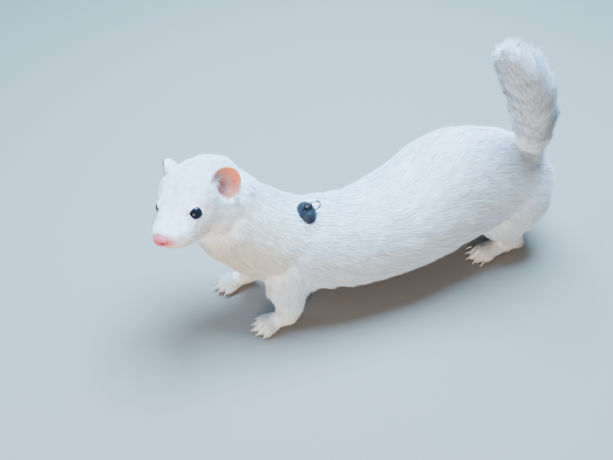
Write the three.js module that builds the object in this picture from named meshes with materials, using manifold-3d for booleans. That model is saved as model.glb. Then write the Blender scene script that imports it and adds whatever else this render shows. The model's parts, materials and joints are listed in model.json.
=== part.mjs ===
import * as THREE from "three";
import { mergeVertices } from "three/addons/utils/BufferGeometryUtils.js";
import Module from "manifold-3d";

// A white ferret, life size, standing with its head turned to its left and its tail raised.
// Millimetres, +Z up. It faces -X and its left side is towards -Y. All sizes reach out to the coat's tips.

const wasm = await Module();
wasm.setup();

// Space kept between pieces that touch.
const gap = 0.3;
// How far short of the pole the last ring of a rounded end stops, as a share of the space between rings.
const domeStop = 0.35;

// The body from rump to skull: centres on the spine line, and half sizes across, above and below it.
const spine = [
  { at: [215, 32, 56], wide: 29, up: 27, down: 31 },
  { at: [190, 34, 61], wide: 36, up: 40, down: 38 },
  { at: [154, 33, 60], wide: 41, up: 47.5, down: 41 },
  { at: [113, 25, 53], wide: 40, up: 39, down: 38 },
  { at: [73, 20, 51], wide: 36, up: 35, down: 35 },
  { at: [39, 21, 57], wide: 34, up: 32, down: 37 },
  { at: [10, 27, 69], wide: 33, up: 28.3, down: 35.5 },
  { at: [-11, 36, 84.5], wide: 29, up: 28, down: 36 },
  { at: [-20, 42, 98], wide: 23, up: 28, down: 31 },
];
const body = { rings: 24, sides: 22, rumpDepth: 22, skullDepth: 7, domeRings: 3 };

// The head in its own frame: X to the nose, Y to its left, Z up, the origin midway between the ears.
const headPlace = { at: [-26.5, 47, 104], yaw: 220.5, pitch: 4, roll: 15 };
const skull = [
  { at: [-10, 0, -1], wide: 20.5, up: 17.4, down: 20 },
  { at: [2, 0, 0], wide: 22.5, up: 17, down: 24 },
  { at: [14, 0, -1], wide: 24.6, up: 17, down: 24.5 },
  { at: [27, 0, -2.5], wide: 20, up: 13, down: 23 },
  { at: [37, 0, -4], wide: 15.8, up: 9.8, down: 18.4 },
  { at: [46.5, 0, -5], wide: 12.8, up: 7.2, down: 12.4 },
  { at: [51, 0, -5.5], wide: 9.5, up: 6, down: 7.6 },
];
const head = { rings: 20, sides: 22, backDepth: 14, muzzleDepth: 2.4, domeRings: 3 };
const crown = { x: 1, angle: 50, rise: 6.2, reach: 14, spread: 21 };
const brow = { x: 18, angle: 42, rise: 3.2, reach: 12, spread: 28 };
const cheek = { x: 11, angle: -38, rise: 5.5, reach: 11, spread: 32 };
const whiskerPad = { x: 44, angle: -12, rise: 1.5, reach: 5.5, spread: 34 };
const nose = { x: 53.05, z: -4, wide: 11.6, tall: 7.6, deep: 7.2 };
const nostril = { side: 3.1, ahead: 3, drop: 0.2, wide: 2.2, tall: 1.9, deep: 5, turn: 25 };
const philtrum = { wide: 0.6, deep: 1.1, sink: 0.4 };
const mouth = { corner: 34, front: 53.4, cornerAngle: -14, frontAngle: -44, curl: 1.6, radius: 0.75, steps: 6 };
const eye = { x: 29, side: 13.7, z: 2.4, radius: 5.3, lidRadius: 4.5, lidThick: 1.1, lidOut: 2.8 };
const eyeFacing = [0.5, 1, 0.5];
const ear = {
  x: 5, side: 26.45, z: 10.1, wide: 18.5, tall: 22.5, deep: 9, wall: 1.7, lean: 14, segments: 12, rows: 5,
};
const earFacing = [0.5, 0.82, 0.28];
const earFold = { deep: 3, wide: 3, tall: 11, x: -3.4, z: -2, rise: 0.02 };

// Where the head leaves the neck and the neck leaves the chest.
const nape = { at: [-14, 44, 93], facing: [-0.8, -0.42, 0.4] };
const chest = { at: [9.5, 25, 72], facing: [-0.74, 0.1, 0.67] };

// Forelegs: shoulder, elbow and wrist, with half sizes along the body and across it.
const forelegs = {
  left: {
    line: [[19, 5, 60], [15, 0, 42], [16.5, -1.5, 24], [15, -1.5, 8]],
    sizes: [[23, 17], [18, 13], [12, 10.5], [10, 9]],
    paw: { at: [4.5, 0.5], turn: 184, scale: 1, heel: 7 },
  },
  right: {
    line: [[17, 41, 60], [11, 46, 42], [7, 48, 24], [3, 49, 8]],
    sizes: [[23, 17], [17.5, 13], [11.5, 10.5], [9.5, 9]],
    paw: { at: [-9.5, 50.5], turn: 182, scale: 1, heel: 8 },
  },
};
const wristHeight = 15;
const limbEnds = { rings: 7, sides: 12, rise: 0.6, drop: 0.5 };

// Hind legs: an egg for each thigh with its middle, turn and pitch, a shank down to the hock, and the paw.
const thigh = { long: 66, across: 38, tall: 54, pitch: -42 };
const hindlegs = {
  left: {
    thigh: { at: [201, 15, 48], turn: 3 },
    shank: { line: [[186, 12, 36], [198, 13, 25], [208, 14, 12]], sizes: [[14, 12], [11.5, 10], [8.5, 8]] },
    paw: { at: [186, 14], turn: 184, scale: 1.08, heel: 24 },
  },
  right: {
    thigh: { at: [201, 53, 48], turn: -5 },
    shank: { line: [[184, 58, 36], [196, 58, 25], [206, 57, 12]], sizes: [[14, 12], [11.5, 10], [8.5, 8]] },
    paw: { at: [184, 57], turn: 178, scale: 1.08, heel: 24 },
  },
};
const hockHeight = 19;

// Paw sizes before scaling, in its own frame: X to the toes, Z up from the floor.
const palm = {
  ahead: 5, wide: 17, tall: 11.5, lift: 4.6, heelWide: 13, heelRise: 1.5, waistWide: 15.6, ends: 6,
};
const toe = { long: 13, wide: 5.8, tall: 6.4, sink: 0.4, fan: 9, root: 3, spread: 3.3, curve: 0.8 };
const claw = { wide: 1.6, tall: 2.1, height: 3.9, root: 3, bend: 1.6, tip: 2.6, tipWide: 0.6, drop: 1.8 };
const toeReach = [-4, -1, 0.4, -0.4, -3.2];

// The tail: its core, and the locks that stand out of it towards the tip.
const tail = [
  { at: [213, 31, 74], wide: 8, up: 8, down: 8 },
  { at: [213, 28, 94], wide: 7.2, up: 7.2, down: 7.2 },
  { at: [211, 24, 114], wide: 7, up: 7, down: 7 },
  { at: [205, 21, 135], wide: 7, up: 7, down: 7 },
  { at: [196, 20, 154], wide: 6, up: 6, down: 6 },
  { at: [187, 21, 167], wide: 4, up: 4, down: 4 },
];
const tailTipDepth = 4;
const brush = { count: 64, start: 0.1, turn: 137.5, seed: 7, sink: 3, crowd: 0.92, tipClose: 0.5, closing: 8 };
const lockSize = { baseLong: 11, midLong: 22, tipLong: 21, wide: 12.5, thick: 2.6, rings: 3, vary: 0.24 };
const lockTaper = [0.62, 1, 0.6];
// How far a lock heads out for each unit along the tail, at its root and at its tip, less near the tail's end.
const lockStand = { root: 1.35, tip: 0.3, endLoss: 0.6, sway: 0.35 };

// The harness: two straps that meet under an oval keeper on the withers, and its ring.
const strap = { wide: 8, thick: 1.4, sink: 2.2, groove: 5, steps: 24 };
const neckLoop = { centre: [16, 24, 66], normal: [0.74, -0.1, -0.67] };
const girthLoop = { centre: [43, 21, 53], normal: [0.97, 0, 0.22] };
const keeper = { at: [35, 14, 87], tilt: 14, long: 12, across: 16.5, high: 8 };
const bail = { radius: 2.6, thick: 0.9, rise: 1.3 };
const dRing = { radius: 5.2, thick: 0.8, droop: 30 };

const degree = Math.PI / 180;
const upward = new THREE.Vector3(0, 0, 1);

function vector(list) {
  return new THREE.Vector3(...list);
}

// Numbers that repeat each run, from 0 to 1.
function seeded(seed) {
  let state = seed;
  return () => {
    state = (state * 1664525 + 1013904223) % 4294967296;
    return state / 4294967296;
  };
}

// A solid from a closed geometry.
function solid(geometry) {
  const bare = new THREE.BufferGeometry();
  bare.setAttribute("position", geometry.getAttribute("position").clone());
  if (geometry.index) bare.setIndex(geometry.index.clone());
  const merged = mergeVertices(bare, 1e-4);
  const made = new wasm.Manifold(new wasm.Mesh({
    numProp: 3,
    vertProperties: new Float32Array(merged.getAttribute("position").array),
    triVerts: new Uint32Array(merged.index.array),
  }));
  if (made.volume() <= 0) throw new Error("a geometry is inside out");
  return made;
}

// The largest closed surface of a solid, as a geometry.
function geometryOf(made) {
  const [largest] = made.decompose().sort((a, b) => b.volume() - a.volume());
  const mesh = largest.getMesh();
  const geometry = new THREE.BufferGeometry();
  geometry.setAttribute("position", new THREE.BufferAttribute(mesh.vertProperties, 3));
  geometry.setIndex(new THREE.BufferAttribute(mesh.triVerts, 1));
  geometry.computeVertexNormals();
  return geometry;
}

function joined(pieces) {
  return pieces.reduce((all, piece) => all.add(piece));
}

function moved(made, matrix) {
  return made.transform(matrix.elements);
}

// A line through the stations and their sizes, read at t from 0 to 1.
function path(stations) {
  const line = new THREE.CatmullRomCurve3(stations.map((s) => vector(s.at)), false, "centripetal");
  const size = new THREE.CatmullRomCurve3(
    stations.map((s) => vector([s.wide, s.up, s.down])), false, "centripetal");
  return { line, size };
}

// One ring's frame: tangent, side and up, with the top of the form towards the given direction.
function frameAt(line, t, top) {
  const tangent = line.getTangent(t);
  const side = new THREE.Vector3().crossVectors(top, tangent).normalize();
  const up = new THREE.Vector3().crossVectors(tangent, side);
  return { centre: line.getPoint(t), tangent, side, up };
}

// A closed form of rings round a line, rounded past both ends. relief adds height at t and angle.
function loft({ stations, rings, sides, first, last, domeRings = 3, top = upward, grow = 0, relief }) {
  const { line, size } = path(stations);
  const points = [];
  const ring = (t, scale, shift) => {
    const { centre, tangent, side, up } = frameAt(line, t, top);
    const half = size.getPoint(t);
    for (let k = 0; k < sides; k += 1) {
      const angle = (2 * Math.PI * k) / sides;
      const extra = grow + (relief ? relief(centre, angle) : 0);
      const across = Math.cos(angle) * (half.x + extra) * scale;
      const above = Math.sin(angle) * ((Math.sin(angle) > 0 ? half.y : half.z) + extra) * scale;
      points.push(centre.clone().addScaledVector(tangent, shift)
        .addScaledVector(side, across).addScaledVector(up, above));
    }
  };
  const pole = (t, shift) => {
    const { centre, tangent } = frameAt(line, t, top);
    return centre.addScaledVector(tangent, shift);
  };
  for (let i = domeRings; i > 0; i -= 1) {
    const bend = ((i - domeStop) / domeRings) * 90 * degree;
    ring(0, Math.cos(bend), -Math.sin(bend) * (first + grow));
  }
  for (let i = 0; i <= rings; i += 1) ring(i / rings, 1, 0);
  for (let i = 1; i <= domeRings; i += 1) {
    const bend = ((i - domeStop) / domeRings) * 90 * degree;
    ring(1, Math.cos(bend), Math.sin(bend) * (last + grow));
  }
  const start = points.push(pole(0, -first - grow)) - 1;
  const end = points.push(pole(1, last + grow)) - 1;
  const total = rings + 1 + 2 * domeRings;
  const faces = [];
  for (let k = 0; k < sides; k += 1) {
    const next = (k + 1) % sides;
    faces.push(start, next, k);
    for (let i = 0; i < total - 1; i += 1) {
      const [a, b] = [i * sides + k, i * sides + next];
      faces.push(a, b, b + sides, a, b + sides, a + sides);
    }
    faces.push(end, (total - 1) * sides + k, (total - 1) * sides + next);
  }
  const geometry = new THREE.BufferGeometry().setFromPoints(points);
  geometry.setIndex(faces);
  return geometry;
}

// An egg-shaped solid with the given whole sizes.
function egg(long, wide, tall, across = 16, rows = 10) {
  return new THREE.SphereGeometry(0.5, across, rows).scale(long, wide, tall);
}

// The half of a solid on the side that the direction points to, from the gap's edge on.
function beyond(made, cut, sign) {
  const normal = vector(cut.facing).normalize().multiplyScalar(sign);
  return made.trimByPlane(normal.toArray(), normal.dot(vector(cut.at)) + gap / 2);
}

// A smooth bump of a form at x and angle, in degrees.
function bump({ x, angle, rise, reach, spread }, at, ringAngle) {
  let turn = ringAngle / degree - angle;
  turn -= 360 * Math.round(turn / 360);
  return rise * Math.exp(-(((at.x - x) / reach) ** 2) - (turn / spread) ** 2);
}

// Body and head forms

function bodyForm(grow = 0) {
  return solid(loft({
    stations: spine, rings: body.rings, sides: body.sides, domeRings: body.domeRings,
    first: body.rumpDepth, last: body.skullDepth, grow,
  }));
}

// Bumps of both sides of the head, mirrored.
function headRelief(at, angle) {
  const mirrored = Math.PI - angle;
  return [crown, brow, cheek, whiskerPad].reduce(
    (sum, form) => sum + bump(form, at, angle) + bump(form, at, mirrored), 0);
}

function headLoft(grow = 0) {
  return solid(loft({
    stations: skull, rings: head.rings, sides: head.sides, domeRings: head.domeRings,
    first: head.backDepth, last: head.muzzleDepth, grow, relief: headRelief,
  }));
}

const headGroup = new THREE.Group();
headGroup.position.fromArray(headPlace.at);
headGroup.rotation.set(headPlace.roll * degree, headPlace.pitch * degree, headPlace.yaw * degree, "ZYX");
headGroup.updateMatrix();
const toHead = headGroup.matrix.clone().invert();

// A frame in the head that looks along a direction, for the side given as 1 (left) or -1.
function facingFrame(at, facing, side, lean = 0) {
  const forward = vector(facing).normalize();
  forward.y *= side;
  const across = new THREE.Vector3().crossVectors(upward, forward).normalize();
  const up = new THREE.Vector3().crossVectors(forward, across);
  const matrix = new THREE.Matrix4().makeBasis(forward, across, up);
  matrix.multiply(new THREE.Matrix4().makeRotationX(-lean * side * degree));
  return matrix.setPosition(at[0], at[1] * side, at[2]);
}

// A point of the head's surface at x and an angle in degrees, where 0 is its left and 90 its top.
function headPoint(x, angleDegrees) {
  const { line, size } = path(skull);
  let t = 0;
  while (t < 1 && line.getPoint(t).x < x) t += 0.005;
  const angle = angleDegrees * degree;
  const centre = line.getPoint(t);
  const half = size.getPoint(t);
  const extra = headRelief(centre, angle);
  const tall = Math.sin(angle) > 0 ? half.y : half.z;
  return new THREE.Vector3(
    Math.max(x, centre.x), Math.cos(angle) * (half.x + extra), centre.z + Math.sin(angle) * (tall + extra));
}

// The line of the mouth, a groove from one corner round under the nose to the other.
function mouthGroove() {
  const points = [];
  for (let i = 0; i <= mouth.steps; i += 1) {
    const t = i / mouth.steps;
    const x = mouth.corner + (mouth.front - mouth.corner) * Math.sin(t * 90 * degree);
    const angle = mouth.cornerAngle + (mouth.frontAngle - mouth.cornerAngle) * t ** mouth.curl;
    points.push(headPoint(x, angle));
  }
  const other = points.slice(0, -1).reverse().map((p) => new THREE.Vector3(p.x, -p.y, p.z));
  const line = new THREE.CatmullRomCurve3([...points, ...other]);
  const section = new THREE.Shape();
  const corners = 5;
  for (let k = 0; k < corners; k += 1) {
    const angle = (2 * Math.PI * k) / corners;
    const corner = [Math.cos(angle) * mouth.radius, Math.sin(angle) * mouth.radius];
    if (k) section.lineTo(...corner);
    else section.moveTo(...corner);
  }
  section.closePath();
  const groove = { steps: 3 * mouth.steps, extrudePath: line, bevelEnabled: false };
  return solid(new THREE.ExtrudeGeometry(section, groove));
}

function eyeball(side, grow = 0) {
  const ball = new THREE.SphereGeometry(eye.radius + grow, 14, 9);
  return ball.applyMatrix4(facingFrame([eye.x, eye.side, eye.z], eyeFacing, side));
}

// The rim of lids round an eye.
function lids(side) {
  const rim = new THREE.TorusGeometry(eye.lidRadius, eye.lidThick, 6, 14).rotateY(90 * degree);
  rim.translate(eye.lidOut, 0, 0);
  return solid(rim.applyMatrix4(facingFrame([eye.x, eye.side, eye.z], eyeFacing, side)));
}

// A cupped ear with a fold inside it: a bowl that opens along its own X.
function earForm(side) {
  const { rows } = ear;
  const outline = [];
  for (let i = 0; i <= rows; i += 1) {
    const bend = (i / rows) * 90 * degree;
    outline.push(new THREE.Vector2(Math.sin(bend) / 2, -Math.cos(bend)));
  }
  const inner = 1 - (2 * ear.wall) / ear.wide;
  for (let i = rows; i >= 0; i -= 1) {
    const bend = (i / rows) * 90 * degree;
    const lift = i ? earFold.rise : 0;
    outline.push(new THREE.Vector2((Math.sin(bend) * inner) / 2, lift - Math.cos(bend) * inner));
  }
  const bowl = new THREE.LatheGeometry(outline, ear.segments).rotateZ(-90 * degree);
  bowl.scale(ear.deep, ear.wide, ear.tall);
  const made = solid(bowl);
  const fold = solid(egg(earFold.deep, earFold.wide, earFold.tall, 8, 6).translate(earFold.x, 0, earFold.z));
  return moved(made.add(fold), facingFrame([ear.x, ear.side, ear.z], earFacing, side, ear.lean));
}

function noseForm(grow = 0) {
  const pad = egg(nose.deep + 2 * grow, nose.wide + 2 * grow, nose.tall + 2 * grow, 12, 8);
  return solid(pad.translate(nose.x, 0, nose.z));
}

function nosePad() {
  const hole = (side) => solid(egg(nostril.deep, nostril.wide, nostril.tall, 8, 6)
    .rotateZ(nostril.turn * side * degree)
    .translate(nose.x + nostril.ahead, nostril.side * side, nose.z - nostril.drop));
  const groove = solid(new THREE.BoxGeometry(philtrum.deep * 2, philtrum.wide, nose.tall / 2)
    .translate(nose.x + nose.deep / 2 - philtrum.sink, 0, nose.z - nose.tall / 3));
  return noseForm().subtract(hole(1)).subtract(hole(-1)).subtract(groove);
}

// Legs

function limb(line, sizes, top, grow = 0) {
  const stations = line.map((at, i) => ({
    at, wide: sizes[i][1], up: sizes[i][0], down: sizes[i][0],
  }));
  return solid(loft({
    stations, rings: limbEnds.rings, sides: limbEnds.sides, domeRings: 2, top, grow,
    first: sizes[0][0] * limbEnds.rise, last: sizes[sizes.length - 1][0] * limbEnds.drop,
  }));
}

// One toe with its claw, pointing along X.
function toeForm(reach) {
  const pad = egg(toe.long, toe.wide, toe.tall, 6, 5);
  pad.translate(toe.long / 2 + reach, 0, toe.tall / 2 - toe.sink);
  const tip = toe.long + reach;
  const nailAt = (x, drop, wide, tall) => ({
    at: [x, 0, claw.height - drop], wide: wide / 2, up: tall / 2, down: tall / 2,
  });
  const nail = loft({
    stations: [
      nailAt(tip - claw.root, 0, claw.wide, claw.tall),
      nailAt(tip + claw.bend, 0, claw.wide, claw.wide),
      nailAt(tip + claw.tip, claw.drop, claw.tipWide, claw.tipWide),
    ],
    rings: 2, sides: 4, first: claw.tipWide, last: claw.tipWide, domeRings: 0,
  });
  return solid(pad).add(solid(nail));
}

// A paw on the floor with five toes, moved to its place.
function pawForm({ at, turn, scale, heel }) {
  const half = palm.tall / 2;
  const soleAt = (x, z, wide) => ({ at: [x, 0, z], wide: wide / 2, up: half, down: half });
  const sole = loft({
    stations: [
      soleAt(-heel, palm.lift + palm.heelRise, palm.heelWide),
      soleAt(palm.ahead - heel / 2, palm.lift, palm.waistWide),
      soleAt(palm.ahead, palm.lift, palm.wide),
    ],
    rings: 3, sides: 12, first: palm.ends, last: palm.ends, domeRings: 2,
  });
  const pieces = [solid(sole)];
  toeReach.forEach((reach, i) => {
    const step = i - 2;
    const matrix = new THREE.Matrix4().makeRotationZ(step * toe.fan * degree);
    matrix.setPosition(toe.root - Math.abs(step) * toe.curve, step * toe.spread, 0);
    pieces.push(moved(toeForm(reach), matrix));
  });
  const place = new THREE.Matrix4().makeRotationZ(turn * degree).setPosition(at[0], at[1], 0);
  place.scale(vector([scale, scale, scale]));
  const whole = moved(joined(pieces), place);
  return whole.trimByPlane([0, 0, 1], 0);
}

const ahead = new THREE.Vector3(-1, 0, 0);

function foreleg({ line, sizes, paw }) {
  return limb(line, sizes, ahead).add(pawForm(paw));
}

function hindleg({ thigh: { at, turn }, shank, paw }) {
  const haunch = egg(thigh.long, thigh.across, thigh.tall, 14, 10)
    .rotateY(thigh.pitch * degree).rotateZ(turn * degree).translate(...at);
  return solid(haunch).add(limb(shank.line, shank.sizes, ahead)).add(pawForm(paw));
}

// Tail

// A flat, tapered lock that starts along one direction and bends to another.
function lock({ root, out, lean, side, long, wide, thick }) {
  const points = [];
  const { rings } = lockSize;
  const at = root.clone();
  for (let i = 0; i < rings; i += 1) {
    const t = i / rings;
    const heading = out.clone().lerp(lean, t).normalize();
    const flat = new THREE.Vector3().crossVectors(heading, side).normalize();
    const taper = lockTaper[i];
    points.push(
      at.clone().addScaledVector(side, (wide / 2) * taper),
      at.clone().addScaledVector(flat, (thick / 2) * taper),
      at.clone().addScaledVector(side, (-wide / 2) * taper),
      at.clone().addScaledVector(flat, (-thick / 2) * taper),
    );
    at.addScaledVector(heading, long / rings);
  }
  points.push(at.clone());
  const faces = [0, 2, 1, 0, 3, 2];
  for (let k = 0; k < 4; k += 1) {
    const next = (k + 1) % 4;
    for (let i = 0; i < rings - 1; i += 1) {
      const [a, b] = [4 * i + k, 4 * i + next];
      faces.push(a, b, b + 4, a, b + 4, a + 4);
    }
    faces.push(4 * (rings - 1) + k, 4 * (rings - 1) + next, 4 * rings);
  }
  const geometry = new THREE.BufferGeometry().setFromPoints(points);
  geometry.setIndex(faces);
  return solid(geometry);
}

// The core with locks round it in a spiral, longest half way up, closing over the tip.
function tailForm() {
  const core = solid(loft({
    stations: tail, rings: 12, sides: 10, first: 2, last: tailTipDepth, domeRings: 2, top: ahead,
  }));
  const { line, size } = path(tail);
  const random = seeded(brush.seed);
  const pieces = [core];
  for (let i = 0; i < brush.count; i += 1) {
    const t = brush.start + (1 - brush.start) * ((i + 0.5) / brush.count) ** brush.crowd;
    const { centre, tangent, side, up } = frameAt(line, t, ahead);
    const angle = i * brush.turn * degree;
    const radial = side.clone().multiplyScalar(Math.cos(angle)).addScaledVector(up, Math.sin(angle));
    const across = new THREE.Vector3().crossVectors(tangent, radial).normalize();
    const ends = t < 0.5 ? lockSize.baseLong : lockSize.tipLong;
    const long = ends + (lockSize.midLong - ends) * Math.sin(Math.PI * t);
    const uneven = () => 1 + lockSize.vary * (random() - 0.5);
    const stand = 1 - lockStand.endLoss * t ** 3;
    const sway = (random() - 0.5) * lockStand.sway;
    const reach = (size.getPoint(t).x - brush.sink) * (1 - brush.tipClose * t ** brush.closing);
    pieces.push(lock({
      root: centre.addScaledVector(radial, reach),
      out: tangent.clone().addScaledVector(radial, lockStand.root * stand).normalize(),
      lean: tangent.clone().addScaledVector(radial, lockStand.tip * stand)
        .addScaledVector(across, sway).normalize(),
      side: across,
      long: long * uneven() + brush.sink,
      wide: lockSize.wide * uneven(),
      thick: lockSize.thick,
    }));
  }
  return joined(pieces);
}

// Harness

// A strap that lies in the coat all round the body, in one plane.
function strapLoop({ centre, normal }, surface, grow = 0) {
  const axis = vector(normal).normalize();
  const level = new THREE.Vector3().crossVectors(upward, axis).normalize();
  const rise = new THREE.Vector3().crossVectors(axis, level);
  const caster = new THREE.Raycaster();
  const hits = [];
  for (let k = 0; k < strap.steps; k += 1) {
    const angle = (2 * Math.PI * k) / strap.steps;
    const away = level.clone().multiplyScalar(Math.cos(angle)).addScaledVector(rise, Math.sin(angle));
    caster.set(vector(centre), away);
    const hit = caster.intersectObject(surface)[0];
    hits.push({ point: hit.point, out: hit.face.normal });
  }
  const points = [];
  hits.forEach(({ point, out }, k) => {
    const before = hits[(k + strap.steps - 1) % strap.steps];
    const after = hits[(k + 1) % strap.steps];
    const normal = out.clone().multiplyScalar(2).add(before.out).add(after.out).normalize();
    const run = after.point.clone().sub(before.point);
    const across = new THREE.Vector3().crossVectors(run, normal).normalize();
    const outer = grow ? strap.groove : strap.thick;
    for (const [along, depth] of [[-1, outer], [-1, -grow], [1, -grow], [1, outer]]) {
      points.push(point.clone().addScaledVector(normal, depth - strap.sink)
        .addScaledVector(across, along * (strap.wide / 2 + grow)));
    }
  });
  const faces = [];
  for (let k = 0; k < strap.steps; k += 1) {
    for (let j = 0; j < 4; j += 1) {
      const [a, b] = [4 * k + j, 4 * k + ((j + 1) % 4)];
      const [c, d] = [a, b].map((index) => (index + 4) % (4 * strap.steps));
      faces.push(a, d, b, a, c, d);
    }
  }
  const geometry = new THREE.BufferGeometry().setFromPoints(points);
  geometry.setIndex(faces);
  return solid(geometry);
}

function straps(surface, grow = 0) {
  return strapLoop(neckLoop, surface, grow).add(strapLoop(girthLoop, surface, grow));
}

// Assembly

const materials = {
  coat: new THREE.MeshStandardMaterial({ color: 0xe9edf2, roughness: 0.9 }),
  skin: new THREE.MeshStandardMaterial({ color: 0xe79a86, roughness: 0.6 }),
  nose: new THREE.MeshStandardMaterial({ color: 0xd9707a, roughness: 0.45 }),
  eye: new THREE.MeshStandardMaterial({ color: 0x0a0c14, roughness: 0.05 }),
  strap: new THREE.MeshStandardMaterial({ color: 0x15171c, roughness: 0.75 }),
  metal: new THREE.MeshStandardMaterial({ color: 0x8a8d92, roughness: 0.3, metalness: 1 }),
};

const ferret = new THREE.Group();

function addNode(name, made, material, parent = ferret) {
  const mesh = new THREE.Mesh(geometryOf(made), material);
  mesh.name = name;
  parent.add(mesh);
}

const bodySolid = bodyForm();
const bodyGrown = bodyForm(gap);
const skullSolid = headLoft();
const skullGrown = headLoft(gap);
const skullInWorld = moved(skullSolid, headGroup.matrix);
const skullGrownInWorld = moved(skullGrown, headGroup.matrix);

const surface = new THREE.Mesh(geometryOf(bodySolid), new THREE.MeshBasicMaterial({ side: THREE.DoubleSide }));
const harnessSolid = straps(surface);
const harnessGrown = straps(surface, gap);

const whole = bodySolid.add(skullInWorld);
const headAndNeck = beyond(whole, chest, 1);
addNode("torso", beyond(bodySolid, chest, -1).subtract(harnessGrown), materials.coat);
addNode("neck", beyond(headAndNeck, nape, -1).subtract(harnessGrown), materials.coat);

// The head, with sockets, lids, mouth and a seat for the nose
let headSolid = moved(beyond(headAndNeck, nape, 1), toHead);
[1, -1].forEach((side) => {
  headSolid = headSolid.add(lids(side)).subtract(solid(eyeball(side, gap)));
});
headSolid = headSolid.subtract(mouthGroove()).subtract(noseForm(gap));
addNode("head", headSolid, materials.coat, headGroup);
addNode("nose", nosePad(), materials.nose, headGroup);
const bodyGrownInHead = moved(bodyGrown, toHead);
[["left", 1], ["right", -1]].forEach(([name, side]) => {
  const made = earForm(side).subtract(skullGrown).subtract(bodyGrownInHead);
  addNode("ear_" + name, made, materials.skin, headGroup);
  addNode("eye_" + name, solid(eyeball(side)), materials.eye, headGroup);
});
ferret.add(headGroup);

// Legs, each parted at the wrist or hock
function addLeg(name, paw, form, height) {
  const made = form.subtract(bodyGrown).subtract(skullGrownInWorld).subtract(harnessGrown);
  const cut = { at: [0, 0, height], facing: [0, 0, 1] };
  addNode(name, beyond(made, cut, 1), materials.coat);
  addNode(paw, beyond(made, cut, -1), materials.coat);
}
for (const side of ["left", "right"]) {
  addLeg("foreleg_" + side, "forepaw_" + side, foreleg(forelegs[side]), wristHeight);
  addLeg("hindleg_" + side, "hindpaw_" + side, hindleg(hindlegs[side]), hockHeight);
}

addNode("tail", tailForm().subtract(bodyGrown), materials.coat);

// The keeper over the crossing straps, and the ring through its bail
const keeperGroup = new THREE.Group();
keeperGroup.position.fromArray(keeper.at);
keeperGroup.rotation.x = keeper.tilt * degree;
keeperGroup.updateMatrix();
const toKeeper = keeperGroup.matrix.clone().invert();
const dome = solid(egg(keeper.long, keeper.across, keeper.high * 2, 14, 10))
  .add(solid(new THREE.TorusGeometry(bail.radius, bail.thick, 6, 12).rotateX(90 * degree)
    .translate(0, 0, keeper.high + bail.rise)))
  .subtract(moved(bodyGrown, toKeeper)).subtract(moved(harnessSolid, toKeeper));
addNode("harness_straps", harnessSolid, materials.strap);
addNode("harness_keeper", dome, materials.strap, keeperGroup);
const ring = new THREE.TorusGeometry(dRing.radius, dRing.thick, 6, 16).translate(dRing.radius, 0, 0)
  .rotateY(dRing.droop * degree).translate(0, 0, keeper.high + bail.rise);
addNode("harness_ring", solid(ring), materials.metal, keeperGroup);
ferret.add(keeperGroup);

// The origin: the middle of the whole box, on the floor
ferret.updateMatrixWorld(true);
const box = new THREE.Box3().setFromObject(ferret, true);
const middle = box.getCenter(new THREE.Vector3());
ferret.position.set(-middle.x, -middle.y, -box.min.z);

export default ferret;
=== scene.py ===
# A white ferret at life size, standing with its head turned to its left and its tail raised.
# Sizes in the dictionaries are millimetres in the frame's own axes unless a note says otherwise.
import json
import math

import bmesh
import bpy
import numpy as np
from mathutils import Euler, Matrix, Vector
from mathutils.bvhtree import BVHTree

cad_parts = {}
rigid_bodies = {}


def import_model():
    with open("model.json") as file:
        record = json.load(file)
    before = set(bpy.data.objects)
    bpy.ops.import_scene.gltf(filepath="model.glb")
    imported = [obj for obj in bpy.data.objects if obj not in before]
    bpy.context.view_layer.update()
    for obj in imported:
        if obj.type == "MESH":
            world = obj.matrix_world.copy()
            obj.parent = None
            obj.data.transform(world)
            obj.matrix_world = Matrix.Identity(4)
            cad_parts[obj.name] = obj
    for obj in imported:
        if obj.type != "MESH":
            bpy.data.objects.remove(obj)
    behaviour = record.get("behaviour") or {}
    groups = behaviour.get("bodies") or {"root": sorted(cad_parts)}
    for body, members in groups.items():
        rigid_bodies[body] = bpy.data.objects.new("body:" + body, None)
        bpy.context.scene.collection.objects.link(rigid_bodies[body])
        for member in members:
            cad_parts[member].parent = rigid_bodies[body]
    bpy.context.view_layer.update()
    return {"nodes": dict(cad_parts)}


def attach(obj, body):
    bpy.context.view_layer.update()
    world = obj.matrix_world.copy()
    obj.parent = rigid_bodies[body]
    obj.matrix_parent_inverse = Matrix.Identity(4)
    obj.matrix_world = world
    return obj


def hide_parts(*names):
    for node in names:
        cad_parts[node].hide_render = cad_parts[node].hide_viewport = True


for leftover in list(bpy.data.objects):
    bpy.data.objects.remove(leftover)
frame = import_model()
nodes = frame["nodes"]
mm = 0.001
random = np.random.default_rng(11)
sides = {"left": 1, "right": -1}
print("frame loaded:", len(nodes), "nodes")

view = {"place": (-206.9, -449.2, 489.2), "tilt": 48, "turn": -20, "lens": 52.85}
cameraData = bpy.data.cameras.new("camera")
cameraData.lens = view["lens"]
cameraData.clip_start = 0.02
camera = bpy.data.objects.new("camera", cameraData)
camera.location = Vector(view["place"]) * mm
camera.rotation_euler = [math.radians(angle) for angle in (view["tilt"], 0, view["turn"])]
bpy.context.scene.collection.objects.link(camera)
bpy.context.scene.camera = camera

# The head's own frame: X to the nose, Y to its left, Z up, from a point midway between the ears
head = {"place": (-109.9, 18.1, 104), "roll": 15, "pitch": 4, "yaw": 220.5}
headTurn = np.array(Euler([math.radians(head[key]) for key in ("roll", "pitch", "yaw")]).to_matrix())
headPlace = np.array(head["place"], float)


def toHead(points):
    return (np.asarray(points, float) - headPlace) @ headTurn


def fromHead(points):
    return np.asarray(points, float) @ headTurn.T + headPlace


# Points moved by a matrix
def placed(points, matrix):
    matrix = np.array(matrix)
    return np.asarray(points) @ matrix[:3, :3].T + matrix[:3, 3]


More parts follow.
